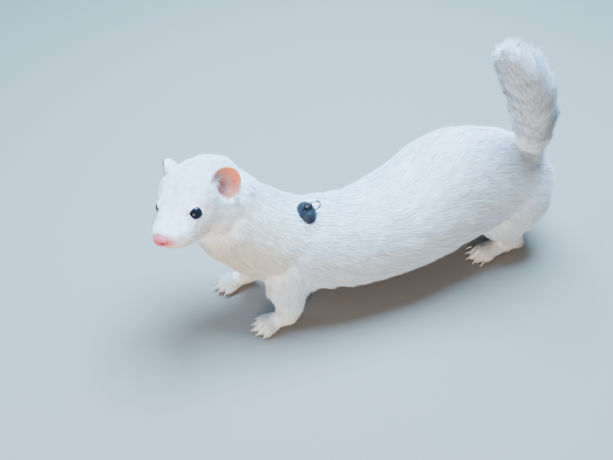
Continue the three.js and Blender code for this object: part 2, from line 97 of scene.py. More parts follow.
def unit(vectors):
    return vectors / np.maximum(np.linalg.norm(vectors, axis=-1, keepdims=True), 1e-9)


def ramp(low, high, values):
    t = np.clip((values - low) / (high - low), 0, 1)
    return t * t * (3 - 2 * t)


def hill(values, middle, reach):
    return np.exp(-(((values - middle) / reach) ** 2))


# Meshes, in and out of arrays
def readOut(items, key, width, kind=np.float32):
    flat = np.empty(len(items) * width, kind)
    items.foreach_get(key, flat)
    return flat.reshape(-1, width)


def pointsOf(mesh):
    return readOut(mesh.vertices, "co", 3).astype(float) / mm


def setPoints(mesh, points):
    mesh.vertices.foreach_set("co", (points * mm).astype(np.float32).ravel())
    mesh.update()


def normalsOf(mesh):
    return readOut(mesh.vertex_normals, "vector", 3).astype(float)


def linked(name, mesh):
    made = bpy.data.objects.new(name, mesh)
    bpy.context.scene.collection.objects.link(made)
    return made


def fromBmesh(name, bm):
    mesh = bpy.data.meshes.new(name)
    bm.to_mesh(mesh)
    bm.free()
    mesh.shade_smooth()
    return linked(name, mesh)


# A change to a piece's mesh, made on it as a bmesh
def edited(made, change):
    bm = bmesh.new()
    bm.from_mesh(made.data)
    change(bm)
    bm.to_mesh(made.data)
    bm.free()
    made.data.shade_smooth()


def joined(name, pieces):
    bm = bmesh.new()
    for piece in pieces:
        bm.from_mesh(piece.data)
        bpy.data.objects.remove(piece)
    return fromBmesh(name, bm)


def withModifiers(made):
    depsgraph = bpy.context.evaluated_depsgraph_get()
    mesh = bpy.data.meshes.new_from_object(made.evaluated_get(depsgraph))
    made.modifiers.clear()
    made.data = mesh
    return made


def finished(piece, paint, replaced=()):
    piece.data.materials.clear()
    piece.data.materials.append(paint)
    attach(piece, "root")
    if replaced:
        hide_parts(*replaced)
    return piece


# Shader sums: a wire is a socket that adds Math nodes where it is used with numbers or other wires
class Wire:
    def __init__(self, tree, socket=None):
        self.tree = tree
        self.socket = socket

    def node(self, kind, settings=None, sockets=None, out=0):
        made = self.tree.nodes.new("ShaderNode" + kind)
        for name, value in (settings or {}).items():
            setattr(made, name, value)
        for name, value in (sockets or {}).items():
            self.feed(made.inputs[name], value)
        return Wire(self.tree, made.outputs[out])

    def feed(self, target, value):
        if isinstance(value, Wire):
            self.tree.links.new(value.socket, target)
        else:
            target.default_value = value

    def sum(self, operation, first, second):
        return self.node("Math", {"operation": operation}, {0: first, 1: second})

    def __add__(self, other):
        return self.sum("ADD", self, other)

    def __radd__(self, other):
        return self.sum("ADD", other, self)

    def __mul__(self, other):
        return self.sum("MULTIPLY", self, other)

    def __rmul__(self, other):
        return self.sum("MULTIPLY", other, self)

    # A mix by this wire of two colours, each a wire or red, green and blue
    def blend(self, *pair):
        first, second = (one if isinstance(one, Wire) else (*one, 1) for one in pair)
        return self.node("Mix", {"data_type": "RGBA"}, {"Factor": self, 6: first, 7: second}, out=2)

    def reading(self, name):
        return self.node("Attribute", {"attribute_name": name}, out=2)

    def noise(self, scale, detail=2):
        place = self.node("TexCoord", out=3)
        return self.node("TexNoise", None, {"Vector": place, "Scale": scale, "Detail": detail})

    def span(self, low, high):
        sockets = {"Value": self, "From Min": low, "From Max": high}
        return self.node("MapRange", {"interpolation_type": "SMOOTHSTEP"}, sockets)

    def bumped(self, strength, distance):
        return self.node("Bump", None, {"Height": self, "Strength": strength, "Distance": distance})


# A material. Its colour is a function of a wire, its bump a noise's scale and detail, a strength and a depth.
def newPaint(name, colour, bump=None, **constants):
    paint = bpy.data.materials.new(name)
    paint.use_nodes = True
    sockets = paint.node_tree.nodes["Principled BSDF"].inputs
    for key, value in constants.items():
        sockets[key.replace("_", " ")].default_value = value
    wire = Wire(paint.node_tree)
    wire.feed(sockets["Base Color"], colour(wire))
    if bump:
        wire.feed(sockets["Normal"], wire.noise(*bump[:2]).bumped(*bump[2:]))
    return paint


# The coat's regions. Each has a line under it, the form's radius about that line, and how the fur grows
# along the line: length, lift at the root in degrees, tuft width and tufts per square mm.
# flow 1 lies along the line and -1 against it; a vector is a direction of its own.
regions = {
    "trunk": {
        "line": [(-60, -5, 62), (-44.6, -7.9, 57), (-10.6, -8.9, 51), (29.4, -3.9, 53),
                 (70.4, 4.1, 60), (106.4, 5.1, 61), (131.4, 3.1, 56), (146, 3, 54)],
        "size": [33, 34, 36, 40, 43, 38, 30, 22], "flow": 1,
        "length": [11, 12, 12.5, 13, 13.5, 13.5, 12, 10],
        "lift": 11, "wide": 0.64, "count": 2.95,
    },
    "neck": {
        "line": [(-106, 15, 101), (-94.6, 7.1, 84.5), (-73.6, -1.9, 69), (-58, -5, 61)],
        "size": [25, 29, 33, 34], "flow": 1,
        "length": [6.5, 9, 11, 11.5], "lift": 11, "wide": 0.58, "count": 3.6,
    },
    "skull": {
        "line": [(-12, 0, -1), (2, 0, -2), (14, 0, -3), (27, 0, -6), (37, 0, -6.5), (46, 0, -6.5),
                 (54, 0, -5.5)],
        "inHead": True, "size": [21, 23, 23, 19, 15, 11, 7], "flow": -1,
        "length": [5.8, 5.2, 4.6, 3.4, 2.3, 1.6, 1], "lift": 9, "wide": 0.38, "count": 8.2,
    },
}
limbs = {
    "foreleg": {
        "Left": [(-66, -26, 50), (-68.6, -28.9, 40), (-67.1, -30.4, 24), (-68.6, -30.4, 12)],
        "Right": [(-68, 14, 48), (-72.6, 17.1, 40), (-76.6, 19.1, 24), (-80.6, 20.1, 12)],
        "size": [18, 15, 11, 9.5], "flow": 1, "length": [7.5, 6.5, 5, 3.5], "lift": 13, "wide": 0.56,
        "count": 3.8,
    },
    "thigh": {
        "Left": [(128, -15, 60), (117.4, -15.9, 48), (100, -17, 34)],
        "Right": [(128, 21, 60), (117.4, 24, 48), (100, 27, 34)],
        "size": [20, 22, 15], "flow": (0.5, 0, -0.87), "length": [12, 10.5, 7.5], "lift": 13, "wide": 0.64,
        "count": 3,
    },
    "shank": {
        "Left": [(102.4, -16.9, 34), (114.4, -15.9, 24), (123.4, -14.9, 13)],
        "Right": [(100.4, 29.1, 34), (112.4, 29.1, 24), (121.4, 28.1, 13)],
        "size": [13, 10.5, 8.5], "flow": 1, "length": [6.5, 5, 3.5], "lift": 13, "wide": 0.56, "count": 3.8,
    },
    "pawFore": {
        "Left": [(-73, -28.6, 7), (-84, -28.9, 6), (-97, -29, 4)],
        "Right": [(-87, 21.5, 7), (-98, 21.5, 6), (-111, 21.5, 4)],
        "size": [9, 8.5, 5], "flow": 1, "length": [3, 2.3, 1.6], "lift": 10, "wide": 0.38, "count": 6,
    },
    "pawHind": {
        "Left": [(124, -14, 8), (108, -14.5, 6), (86, -16, 4)],
        "Right": [(122, 28, 8), (106, 28.1, 6), (84, 29, 4)],
        "size": [8.5, 9, 5], "flow": 1, "length": [3.5, 2.6, 1.6], "lift": 10, "wide": 0.38, "count": 5.4,
    },
}
for name, limb in limbs.items():
    for side in ("Left", "Right"):
        regions[name + side] = {**limb, "line": limb[side]}
regions["tail"] = {
    "line": [(130, 1, 80), (129.4, -0.9, 94), (127.4, -4.9, 114), (121.4, -7.9, 135),
             (112.4, -8.9, 154), (103.4, -7.9, 167), (100, -7.6, 172)],
    "size": [11.5, 11.8, 12, 12, 10.8, 8.4, 5.6], "flow": 1,
    "length": [11, 14, 17, 19, 18.5, 16, 14], "lift": [17, 18, 19, 20, 21, 20, 17],
    "wide": 0.54, "count": 4.4,
}
growth = ("length", "lift", "wide", "count")


# For each point, its distance from a region's line over the form's radius, and the lie and values there
def onLine(region, points):
    line = np.array(region["line"], float)
    if region.get("inHead"):
        line = fromHead(line)
    best = np.full(len(points), np.inf)
    place = np.zeros(len(points))
    tangent = np.zeros((len(points), 3))
    for index in range(len(line) - 1):
        start, step = line[index], line[index + 1] - line[index]
        t = np.clip((points - start) @ step / (step @ step), 0, 1)
        away = np.linalg.norm(points - start - t[:, None] * step, axis=1)
        nearer = away < best
        best[nearer] = away[nearer]
        place[nearer] = index + t[nearer]
        tangent[nearer] = unit(step)
    stations = np.arange(len(line))

    def along(values):
        return np.interp(place, stations, np.broadcast_to(values, len(line)).astype(float))

    flow = region["flow"]
    lie = unit(np.array(flow, float)) + 0 * tangent if isinstance(flow, tuple) else flow * tangent
    return best / along(region["size"]), lie, {key: along(region[key]) for key in growth}


# The coat at each point: the growth values and the lie, blended between the regions that are near
def coatAt(points, sharp=9.0):
    reach, lies, values = zip(*(onLine(region, points) for region in regions.values()))
    reach = np.array(reach)
    weights = np.exp(-sharp * (reach - reach.min(0)))
    weights /= weights.sum(0)
    blended = {key: sum(w * v[key] for w, v in zip(weights, values)) for key in growth}
    lie = sum(w[:, None] * direction for w, direction in zip(weights, lies))
    return blended, lie, dict(zip(regions, weights))


# The share of the regions whose names start so
def shareOf(near, *starts):
    return sum(near[name] for name in near if name.startswith(starts))


# The skin starts as the flesh nodes and finer paws, melted into one.
# Eyes, nose and straps only fill their seats in it.
fleshNodes = ["torso", "neck", "head", "foreleg_left", "foreleg_right", "hindleg_left", "hindleg_right"]
pawNodes = ["forepaw_left", "forepaw_right", "hindpaw_left", "hindpaw_right"]
seatNodes = ["nose", "eye_left", "eye_right", "harness_straps"]
paws = {
    "foreLeft": {"place": (-79.1, -28.4), "turn": 184, "scale": 1.0, "heel": 7},
    "foreRight": {"place": (-93.1, 21.6), "turn": 182, "scale": 1.0, "heel": 8},
    "hindLeft": {"place": (102.4, -14.9), "turn": 184, "scale": 1.08, "heel": 24},
    "hindRight": {"place": (100.4, 28.1), "turn": 178, "scale": 1.08, "heel": 24},
}
palm = {"balls": (0, 0.33, 0.66, 1), "past": 4, "height": 5.6, "size": (17, 13, 11.6), "widens": 3.4}
toes = {"fan": 9, "spread": 3.3, "root": 3, "curve": 0.8, "reach": (-4, -1, 0.4, -0.4, -3.2)}
# The two balls of a toe: place and height, size, tilt
toeBalls = (((3, 4.4), (12, 5.225, 7.4), 12), ((8.6, 3.3), (8.6, 5.5, 6.4), 8))
ankleHeight = 24
seamCloser = 0.35


def addBall(bm, centre, size, tilt=0.0, place=Matrix(), segments=20):
    turn = Matrix.Rotation(math.radians(tilt), 4, "Y")
    matrix = place @ Matrix.Translation(centre) @ turn @ Matrix.Diagonal((*(s / 2 for s in size), 1))
    bmesh.ops.create_uvsphere(bm, u_segments=segments, v_segments=segments // 2, radius=1, matrix=matrix)


def pawMatrix(paw):
    place = Matrix.Translation((*paw["place"], 0)) @ Matrix.Rotation(math.radians(paw["turn"]), 4, "Z")
    return place @ Matrix.Scale(paw["scale"], 4)


# Each toe's frame in the paw: its root, its fan and how far it reaches
def toeFrames(paw):
    for index, reach in enumerate(toes["reach"]):
        side = index - 2
        turn = Matrix.Rotation(math.radians(side * toes["fan"]), 4, "Z")
        root = Matrix.Translation((toes["root"] - abs(side) * toes["curve"], side * toes["spread"], 0))
        yield pawMatrix(paw) @ root @ turn, reach


def addPaw(bm, paw):
    long, wide, tall = palm["size"]
    for share in palm["balls"]:
        middle = share * (paw["heel"] + palm["past"]) - paw["heel"]
        size = (long, wide + palm["widens"] * share, tall)
        addBall(bm, (middle, 0, palm["height"]), size, place=pawMatrix(paw))
    for matrix, reach in toeFrames(paw):
        for (along, height), size, tilt in toeBalls:
            addBall(bm, (along + reach, 0, height), size, tilt, matrix)


# Balls along a region's line, below a height, as a limb's end or the core of the tail
def addLimb(bm, region, below=1000.0):
    line = np.array(region["line"], float)
    for index in range(len(line) - 1):
        for share in np.linspace(0, 1, 7):
            centre = line[index] + share * (line[index + 1] - line[index])
            size = 2 * np.interp(index + share, range(len(line)), region["size"])
            if centre[2] < below:
                addBall(bm, Vector(centre), (size, size, size), segments=14)


# Each part swells a little, which closes the thin cuts between them
def fleshForm():
    bm = bmesh.new()
    for name in fleshNodes + seatNodes:
        bm.from_mesh(nodes[name].data)
    bmesh.ops.remove_doubles(bm, verts=bm.verts, dist=1e-6)
    bm.normal_update()
    for vert in bm.verts:
        vert.co += vert.normal * seamCloser * mm
    bmesh.ops.scale(bm, vec=(1 / mm,) * 3, verts=bm.verts)
    for paw in paws.values():
        addPaw(bm, paw)
    for name in ("forelegLeft", "forelegRight", "shankLeft", "shankRight"):
        addLimb(bm, regions[name], below=ankleHeight)
    addLimb(bm, regions["tail"])
    bmesh.ops.scale(bm, vec=(mm,) * 3, verts=bm.verts)
    return fromBmesh("skin", bm)


skinSettings = {
    "voxel": 1.5, "smoothing": 30, "faceSmoothing": 6, "faceFrom": (9, 21), "floor": 0.35,
    "nape": (-106, 14, 112), "napeReach": 26, "napeSmoothing": 70,
    "rise": 0.85, "under": 0.2, "riseSmoothing": 12,
    "splits": (((20, -30, -30), (62, 30, 16)), ((33, -20, -26), (62, 20, 10))),
}


def edgesOf(mesh):
    return readOut(mesh.edges, "vertices", 2, np.int32)


# Each value moves towards the mean of its neighbours'
def relaxed(values, edges, times, share=0.5):
    first, second = edges.T
    count = np.maximum(np.bincount(edges.ravel(), minlength=len(values)), 1)[:, None]
    share = np.broadcast_to(np.asarray(share, float).reshape(-1, 1), (len(values), 1))
    values = np.array(values, float)
    for _ in range(times):
        total = np.stack([
            np.bincount(first, values[second, axis], len(values))
            + np.bincount(second, values[first, axis], len(values)) for axis in range(values.shape[1])], 1)
        values += share * (total / count - values)
    return values


def remeshed(made, voxel):
    modifier = made.modifiers.new("voxels", "REMESH")
    modifier.mode = "VOXEL"
    modifier.voxel_size = voxel * mm
    modifier.use_smooth_shade = True
    return withModifiers(made)


# Splits the faces between the chosen points, for folds finer than the voxels
def splitNear(made, inside):
    def split(bm):
        edges = [edge for edge in bm.edges if all(inside[vert.index] for vert in edge.verts)]
        bmesh.ops.subdivide_edges(bm, edges=edges, cuts=1, use_grid_fill=True, smooth=0.5)

    edited(made, split)


def keepLargest(bm):
    left = set(bm.verts)
    groups = []
    while left:
        group, queue = set(), [left.pop()]
        while queue:
            vert = queue.pop()
            group.add(vert)
            for edge in vert.link_edges:
                other = edge.other_vert(vert)
                if other in left:
                    left.remove(other)
                    queue.append(other)
        groups.append(group)
    for group in sorted(groups, key=len)[:-1]:
        bmesh.ops.delete(bm, geom=list(group), context="VERTS")


skin = remeshed(fleshForm(), skinSettings["voxel"])
edited(skin, keepLargest)
points = pointsOf(skin.data)
edges = edgesOf(skin.data)
growthAt, _, near = coatAt(points)
headward = near["skull"] * ramp(*skinSettings["faceFrom"], toHead(points)[:, 0])
small = np.clip(headward + shareOf(near, "paw", "tail"), 0, 1)
points = relaxed(points, edges, skinSettings["faceSmoothing"])
points = relaxed(points, edges, skinSettings["smoothing"], 0.5 * (1 - small))
nape = hill(np.linalg.norm(points - skinSettings["nape"], axis=1), 0, skinSettings["napeReach"])
points = relaxed(points, edges, skinSettings["napeSmoothing"], 0.5 * (1 - small) * nape)
setPoints(skin.data, points)
rise = growthAt["length"] * np.sin(np.radians(growthAt["lift"])) * (1 - near["tail"])
depth = skinSettings["under"] + skinSettings["rise"] * rise[:, None]
points -= normalsOf(skin.data) * relaxed(depth, edges, skinSettings["riseSmoothing"])
points[:, 2] = np.maximum(points[:, 2], skinSettings["floor"])
setPoints(skin.data, points)
for low, high in skinSettings["splits"]:
    places = toHead(pointsOf(skin.data))
    splitNear(skin, ((places > low) & (places < high)).all(1))
print("skin melted:", len(skin.data.polygons), "faces")

toeGroove = {"start": 4, "full": 9, "deep": 1.7, "wide": 0.85, "from": 3, "to": 22, "across": 12, "below": 12}


# Points in a paw's own frame, and which of them are at its toes
def inPaw(points, paw):
    local = placed(points, np.linalg.inv(np.array(pawMatrix(paw))))
    ahead = (local[:, 0] > toeGroove["from"]) & (local[:, 0] < toeGroove["to"])
    return local, ahead & (np.abs(local[:, 1]) < toeGroove["across"]) & (points[:, 2] < toeGroove["below"])


# Grooves between the toes
def shapeToes(made):
    splitNear(made, np.any([inPaw(pointsOf(made.data), paw)[1] for paw in paws.values()], 0))
    points = pointsOf(made.data)
    normals = normalsOf(made.data)
    for paw in paws.values():
        local, close = inPaw(points, paw)
        for gap in (-1.5, -0.5, 0.5, 1.5):
            turn = math.radians(gap * toes["fan"])
            x = local[close, 0] - (toes["root"] - abs(gap) * toes["curve"])
            y = local[close, 1] - gap * toes["spread"]
            along, away = x * math.cos(turn) + y * math.sin(turn), y * math.cos(turn) - x * math.sin(turn)
            deep = toeGroove["deep"] * ramp(toeGroove["start"], toeGroove["full"], along)
            points[close] -= normals[close] * (deep * hill(away, 0, toeGroove["wide"]))[:, None]
    points[:, 2] = np.maximum(points[:, 2], skinSettings["floor"])
    setPoints(made.data, points)


shapeToes(skin)
print("toes shaped:", len(skin.data.polygons), "faces")

# The face, in the head's frame. Each eye looks along its own facing, given for the left side.
face = {
    "eye": (29, 13.6, 2.3), "eyeRadius": 5.3, "facing": (0.5, 1, 0.45),
    "nose": (53.05, 0, -4), "noseSize": (7.2, 11.6, 7.6),
    "ear": (5, 26.4, 10.2), "earFacing": (0.5, 0.82, 0.28), "lean": 14,
    "earHalf": (9.1, 11.8), "earDeep": 8.6,
}
mouth = {
    "corner": 40, "front": 53.4, "cornerAngle": -14, "frontAngle": -44, "curl": 1.6, "steps": 14,
    "deep": 1.7, "wide": 0.85, "lip": 0.5, "lipWide": 1.5, "chin": 0.9, "chinWide": 2.4, "chinSoft": 1.6,
    "fade": (39, 47), "within": (26, 4), "axis": ((27, 37, 46, 54), (-2.5, -4, -5, -5.5)),
}


# A turn whose columns look along a facing, across it and up it, for side 1 (left) or -1, in the head's frame
def facingTurn(facing, side, lean=0.0):
    forward = unit(np.array(facing) * (1, side, 1))
    across = unit(np.cross((0, 0, 1), forward))
    up = np.cross(forward, across)
    turn = np.stack([forward, across * side, up], 1)
    spin = np.array(Matrix.Rotation(math.radians(-lean), 3, "X"))
    return turn @ spin


def sided(place, side):
    return np.array(place, float) * (1, side, 1)


def treeOf(made):
    return BVHTree.FromObject(made, bpy.context.evaluated_depsgraph_get())


# Where rays from points of the head's frame meet a surface, and where they miss, the points pushed a long way
def castInHead(tree, starts, directions):
    found = []
    for start, direction in zip(fromHead(starts), np.asarray(directions) @ headTurn.T):
        hit = tree.ray_cast(Vector(start * mm), Vector(direction))[0]
        found.append(np.array(hit) / mm if hit is not None else start + direction * 100)
    return toHead(found)


def mouthLine(tree, side):
    t = np.linspace(0, 1, mouth["steps"])
    x = mouth["corner"] + (mouth["front"] - mouth["corner"]) * np.sin(t * math.pi / 2)
    turned = (mouth["frontAngle"] - mouth["cornerAngle"]) * t ** mouth["curl"]
    angle = np.radians(mouth["cornerAngle"] + turned)
    starts = np.stack([x, 0 * x, np.interp(x, *mouth["axis"])], 1)
    outward = np.stack([0 * x, side * np.cos(angle), np.sin(angle)], 1)
    return castInHead(tree, starts, outward)


# Distance to a line of points, and the height over its nearest point
def nearLine(points, line):
    best = np.full(len(points), np.inf)
    above = np.zeros(len(points))
    for start, end in zip(line[:-1], line[1:]):
        step = end - start
        t = np.clip((points - start) @ step / (step @ step), 0, 1)
        offset = points - start - t[:, None] * step
        away = np.linalg.norm(offset, axis=1)
        nearer = away < best
        best[nearer] = away[nearer]
        above[nearer] = offset[nearer, 2]
    return best, above


# The groove of the mouth with its lips, and the chin set back under them
def shapeMouth(made, tree):
    points = pointsOf(made.data)
    normals = normalsOf(made.data)
    places = toHead(points)
    close = (places[:, 0] > mouth["within"][0]) & (places[:, 2] < mouth["within"][1])
    inHead = places[close]
    push = np.zeros(len(inHead))
    fade = ramp(*mouth["fade"], inHead[:, 0])
    for side in sides.values():
        away, above = nearLine(inHead, mouthLine(tree, side))
        own = inHead[:, 1] * side > -0.6
        signed = np.where(above > 0, away, -away)
        shape = mouth["lip"] * hill(signed, mouth["lipWide"], 1.0)
        shape -= mouth["deep"] * hill(signed, 0, mouth["wide"])
        shape -= mouth["chin"] * hill(signed, -mouth["chinWide"], mouth["chinSoft"])
        push = np.where(own & (np.abs(shape) > np.abs(push)), shape * fade, push)
    points[close] += normals[close] * push[:, None]
    setPoints(made.data, points)


# The skin dips under each eye, behind each ear and for the nose, and folds where the cheek meets the throat
eyeBed = {"reach": 4.0, "deep": 1.3, "ahead": 12}
earPit = {"clear": 1.8, "edge": (1, 0.9), "behind": -18}
noseSeat = {"sink": 0.5, "edge": (1.22, 1.0), "within": 1.5, "behind": -2.5}
cheekFold = {
    "line": [(13, 31.5, -11), (18, 29.5, -16), (22, 24.5, -20), (24.4, 17, -23), (25, 8.5, -24)],
    "deep": 1.5, "wide": 4.2,
}


# In an ear's own frame: the share of the way out to its rim, the cup's depth there and the place ahead
def inEar(inHead, side):
    local = (inHead - sided(face["ear"], side)) @ facingTurn(face["earFacing"], side, face["lean"])
    reach = np.hypot(local[:, 1] / face["earHalf"][0], local[:, 2] / face["earHalf"][1])
    return reach, -face["earDeep"] * np.maximum(1 - reach ** 2, 0) ** 0.425, local[:, 0]


def shapeFace(made):
    points = pointsOf(made.data)
    normals = normalsOf(made.data)
    inHead = toHead(points)
    for side in sides.values():
        forward = unit(sided(face["facing"], side))
        offset = inHead - sided(face["eye"], side)
        ahead = offset @ forward
        around = np.linalg.norm(offset - ahead[:, None] * forward, axis=1)
        dip = eyeBed["deep"] * hill(around, 0, eyeBed["reach"]) * (ahead > 0) * (ahead < eyeBed["ahead"])
        points -= (forward @ headTurn.T) * dip[:, None]
        reach, cup, ahead = inEar(inHead, side)
        drop = np.maximum(ahead - cup + earPit["clear"], 0) * ramp(*earPit["edge"], reach)
        drop *= ahead > earPit["behind"]
        points -= (unit(sided(face["earFacing"], side)) @ headTurn.T) * drop[:, None]
        away, _ = nearLine(inHead, np.array([sided(place, side) for place in cheekFold["line"]], float))
        points -= normals * (cheekFold["deep"] * hill(away, 0, cheekFold["wide"]))[:, None]
    inHead = toHead(points) - face["nose"]
    reach = np.linalg.norm(inHead / (np.array(face["noseSize"]) / 2), axis=1)
    inner = (reach < noseSeat["within"]) & (inHead[:, 0] > noseSeat["behind"])
    shrink = 1 - noseSeat["sink"] * ramp(*noseSeat["edge"], reach[inner])
    points[inner] = fromHead(inHead[inner] * shrink[:, None] + face["nose"])
    setPoints(made.data, points)


shapeFace(skin)
shapeMouth(skin, treeOf(skin))
skinTree = treeOf(skin)
print("face and mouth shaped")

# White fur over pink skin. Roots are a little darker than tips, a painted shade deep in the coat. Droop turns
# the lie down on the flanks.
coat = {
    "white": (0.87, 0.895, 0.93), "shade": (0.7, 0.745, 0.81), "root": (0.8, 0.8, 0.8),
    # The lip colour is painted shade for the crease of the mouth
    "creamAndBounceLight": (0.86, 0.73, 0.53), "pink": (0.76, 0.19, 0.2), "lip": (0.2, 0.08, 0.09), "droop": 0.3,
}


# The skin's own unwrap. Every tuft keeps its place on it.
def unwrap(made):
    bpy.context.view_layer.objects.active = made
    made.select_set(True)
    made.data.uv_layers.new(name="OFBake")
    bpy.ops.object.mode_set(mode="EDIT")
    bpy.ops.mesh.select_all(action="SELECT")
    bpy.ops.uv.smart_project(angle_limit=math.radians(66), island_margin=0.004)
    bpy.ops.object.mode_set(mode="OBJECT")
    made.select_set(False)


unwrap(skin)
print("skin unwrapped")

# The markings, the same on the skin and on its coat. The cream tint is partly the coat's own and partly
# painted warm light bounced up onto the throat, hip, belly and jaw; pink is the bare skin's.
markings = {
    "throat": ((-94, -10, 68), 44, 0.35, 0.85), "hip": ((108, -44, 38), 30, 0.3, 0.35),
    "belly": (30, 12), "bellyTint": 0.45, "jaw": (-12.5, -8), "jawTint": 0.8, "jawFrom": 36,
    "nosePink": (49.5, 53), "eyeCorner": (35.6, 13.6, 6.0), "cornerReach": 3.3, "cornerPink": 0.85,
    "sole": (0.8, 2.6), "solePink": 0.8,
}


def markingsAt(points, near):
    inHead = toHead(points)

    def patch(place, reach, core, tint):
        return tint * (1 - ramp(core, 1, np.linalg.norm(points - place, axis=1) / reach))

    belly = 1 - ramp(*markings["belly"][::-1], points[:, 2])
    jaw = near["skull"] * (1 - ramp(*markings["jaw"], inHead[:, 2]))
    pink = near["skull"] * ramp(*markings["nosePink"], inHead[:, 0])
    for side in sides.values():
        away, above = nearLine(inHead, mouthLine(skinTree, side))
        below = (above < 0) * (inHead[:, 0] > markings["jawFrom"])
        jaw = np.maximum(jaw, near["skull"] * hill(away, 3, 2.4) * below)
        away = np.linalg.norm(inHead - sided(markings["eyeCorner"], side), axis=1)
        corner = hill(away, 0, markings["cornerReach"])
        pink = np.maximum(pink, near["skull"] * markings["cornerPink"] * corner)
    # Cream tint, partly painted warm bounce light: patches on the throat and hip, under the jaw, and on the
    # belly, more towards the bottom
    creamAndBounceLight = patch(*markings["throat"]) + patch(*markings["hip"])
    creamAndBounceLight = np.clip(creamAndBounceLight + markings["bellyTint"] * belly + markings["jawTint"] * jaw, 0, 1)
    low = 1 - ramp(*markings["sole"], points[:, 2])
    return creamAndBounceLight, np.maximum(pink, shareOf(near, "paw") * low * markings["solePink"])


# Painted shade in the line of the mouth and, fainter, in the groove under the nose
def mouthCreaseShadeAt(points):
    inHead = toHead(points)
    away = np.minimum(*(nearLine(inHead, mouthLine(skinTree, side))[0] for side in (1, -1)))
    away += 3 * ramp(48, 40, inHead[:, 0])
    groove = np.abs(inHead[:, 1]) + 100 * (inHead[:, 2] > -7) + 100 * (inHead[:, 0] < 49)
    return np.maximum(0.85 * hill(away, 0, 0.8), 0.6 * hill(groove, 0, 0.4))


def addAttribute(mesh, name, values):
    values = np.broadcast_to(values, len(mesh.vertices)).astype(np.float32)
    mesh.attributes.new(name, "FLOAT", "POINT").data.foreach_set("value", values)


def acrossNormal(vectors, normals):
    return vectors - (vectors * normals).sum(1, keepdims=True) * normals


def skinFields(made):
    mesh = made.data
    points = pointsOf(mesh)
    normals = normalsOf(mesh)
    values, lie, near = coatAt(points)
    lie[:, 2] -= coat["droop"] * (1 - np.abs(normals[:, 2])) * (near["trunk"] + near["neck"])
    lie = relaxed(acrossNormal(lie, normals), edgesOf(mesh), 14)
    lie = unit(acrossNormal(lie, normals))
    creamAndBounceLight, pink = markingsAt(points, near)
    for name, marks in (("creamAndBounceLight", creamAndBounceLight), ("pink", pink), ("lip", mouthCreaseShadeAt(points)), ("along", 0), ("shade", 0.5)):
        addAttribute(mesh, name, marks)
    fields = {**values, "creamAndBounceLight": creamAndBounceLight, "pink": pink, "point": points, "normal": normals, "lie": lie}
    return {**fields, "near": np.stack(list(near.values()), 1)}


# Where the coat thins or shortens: round the eyes, on the nose and lips, at the ears and on the soles
bare = {
    "eye": (4.6, 5.2), "eyeShort": (4.6, 13), "nose": (50.5, 53), "lip": (1.1, 2.42), "ear": (9.5, 15.2),
    "earRim": (0.98, 1.06), "sole": (0.5, 1.6), "head": 0.4,
}


def thinned(fields):
    inHead = toHead(fields["point"])
    count, length = fields["count"].copy(), fields["length"].copy()
    near = dict(zip(regions, fields["near"].T))
    onHead = near["skull"] > bare["head"]
    for side in sides.values():
        pupil = sided(face["eye"], side) + unit(sided(face["facing"], side)) * 2
        away = np.linalg.norm(inHead - pupil, axis=1)
        count = np.where(onHead, count * ramp(*bare["eye"], away), count)
        length = np.where(onHead, length * (0.45 + 0.55 * ramp(*bare["eyeShort"], away)), length)
        away, _ = nearLine(inHead, mouthLine(skinTree, side))
        count = np.where(onHead, count * ramp(*bare["lip"], away), count)
        reach, _, ahead = inEar(inHead, side)
        count = np.where(onHead & (ahead > earPit["behind"]), count * ramp(*bare["earRim"], reach), count)
        away = np.linalg.norm(inHead - sided(face["ear"], side), axis=1)
        length = np.where(onHead, length * (0.5 + 0.5 * ramp(*bare["ear"], away)), length)
    count *= 1 - near["skull"] * ramp(*bare["nose"], inHead[:, 0])
    count *= 1 - np.clip(shareOf(near, "paw"), 0, 1) * (1 - ramp(*bare["sole"], fields["point"][:, 2]))
    return {**fields, "count": count, "length": length}


coatFields = thinned(skinFields(skin))
print("coat fields ready")


# Soft noise from a few crossed waves, about -1 to 1, over a wavelength in millimetres
def waves(points, wavelength, count=7):
    directions = unit(random.normal(size=(count, 3))) * (2 * math.pi / wavelength)
    directions *= random.uniform(0.7, 1.4, (count, 1))
    phases = random.uniform(0, 2 * math.pi, count)
    return np.sin(points @ directions.T + phases).sum(1) / math.sqrt(count)


# Roots spread evenly over a surface by the count per square millimetre
def scattered(mesh, points, count):
    mesh.calc_loop_triangles()
    corners = readOut(mesh.loop_triangles, "loops", 3, np.int32)
    verts = readOut(mesh.loop_triangles, "vertices", 3, np.int32)
    first, second, third = (points[verts[:, k]] for k in range(3))
    area = np.linalg.norm(np.cross(second - first, third - first), axis=1) / 2
    ends = np.floor(np.cumsum(area * count[verts].mean(1)) + random.random()).astype(int)
    pick = np.repeat(np.arange(len(verts)), np.diff(ends, prepend=0))
    a, b = random.random((2, len(pick)))
    folded = a + b > 1
    a, b = np.where(folded, 1 - a, a), np.where(folded, 1 - b, b)
    return corners[pick], verts[pick], np.stack([1 - a - b, a, b], 1)


def mixed(values, picks, shares):
    return np.einsum("nk,nk...->n...", shares, values[picks])


def uvOf(mesh):
    return readOut(mesh.uv_layers["OFBake"].data, "uv", 2).astype(float)


def rootsOn(made, fields):
    corners, verts, shares = scattered(made.data, fields["point"], fields["count"])
    roots = {key: mixed(values, verts, shares) for key, values in fields.items()}
    roots["uv"] = mixed(uvOf(made.data), corners, shares)
    for key in ("normal", "lie"):
        roots[key] = unit(roots[key])
    return roots


def chosen(roots, which):
    return {key: values[which] for key, values in roots.items()}


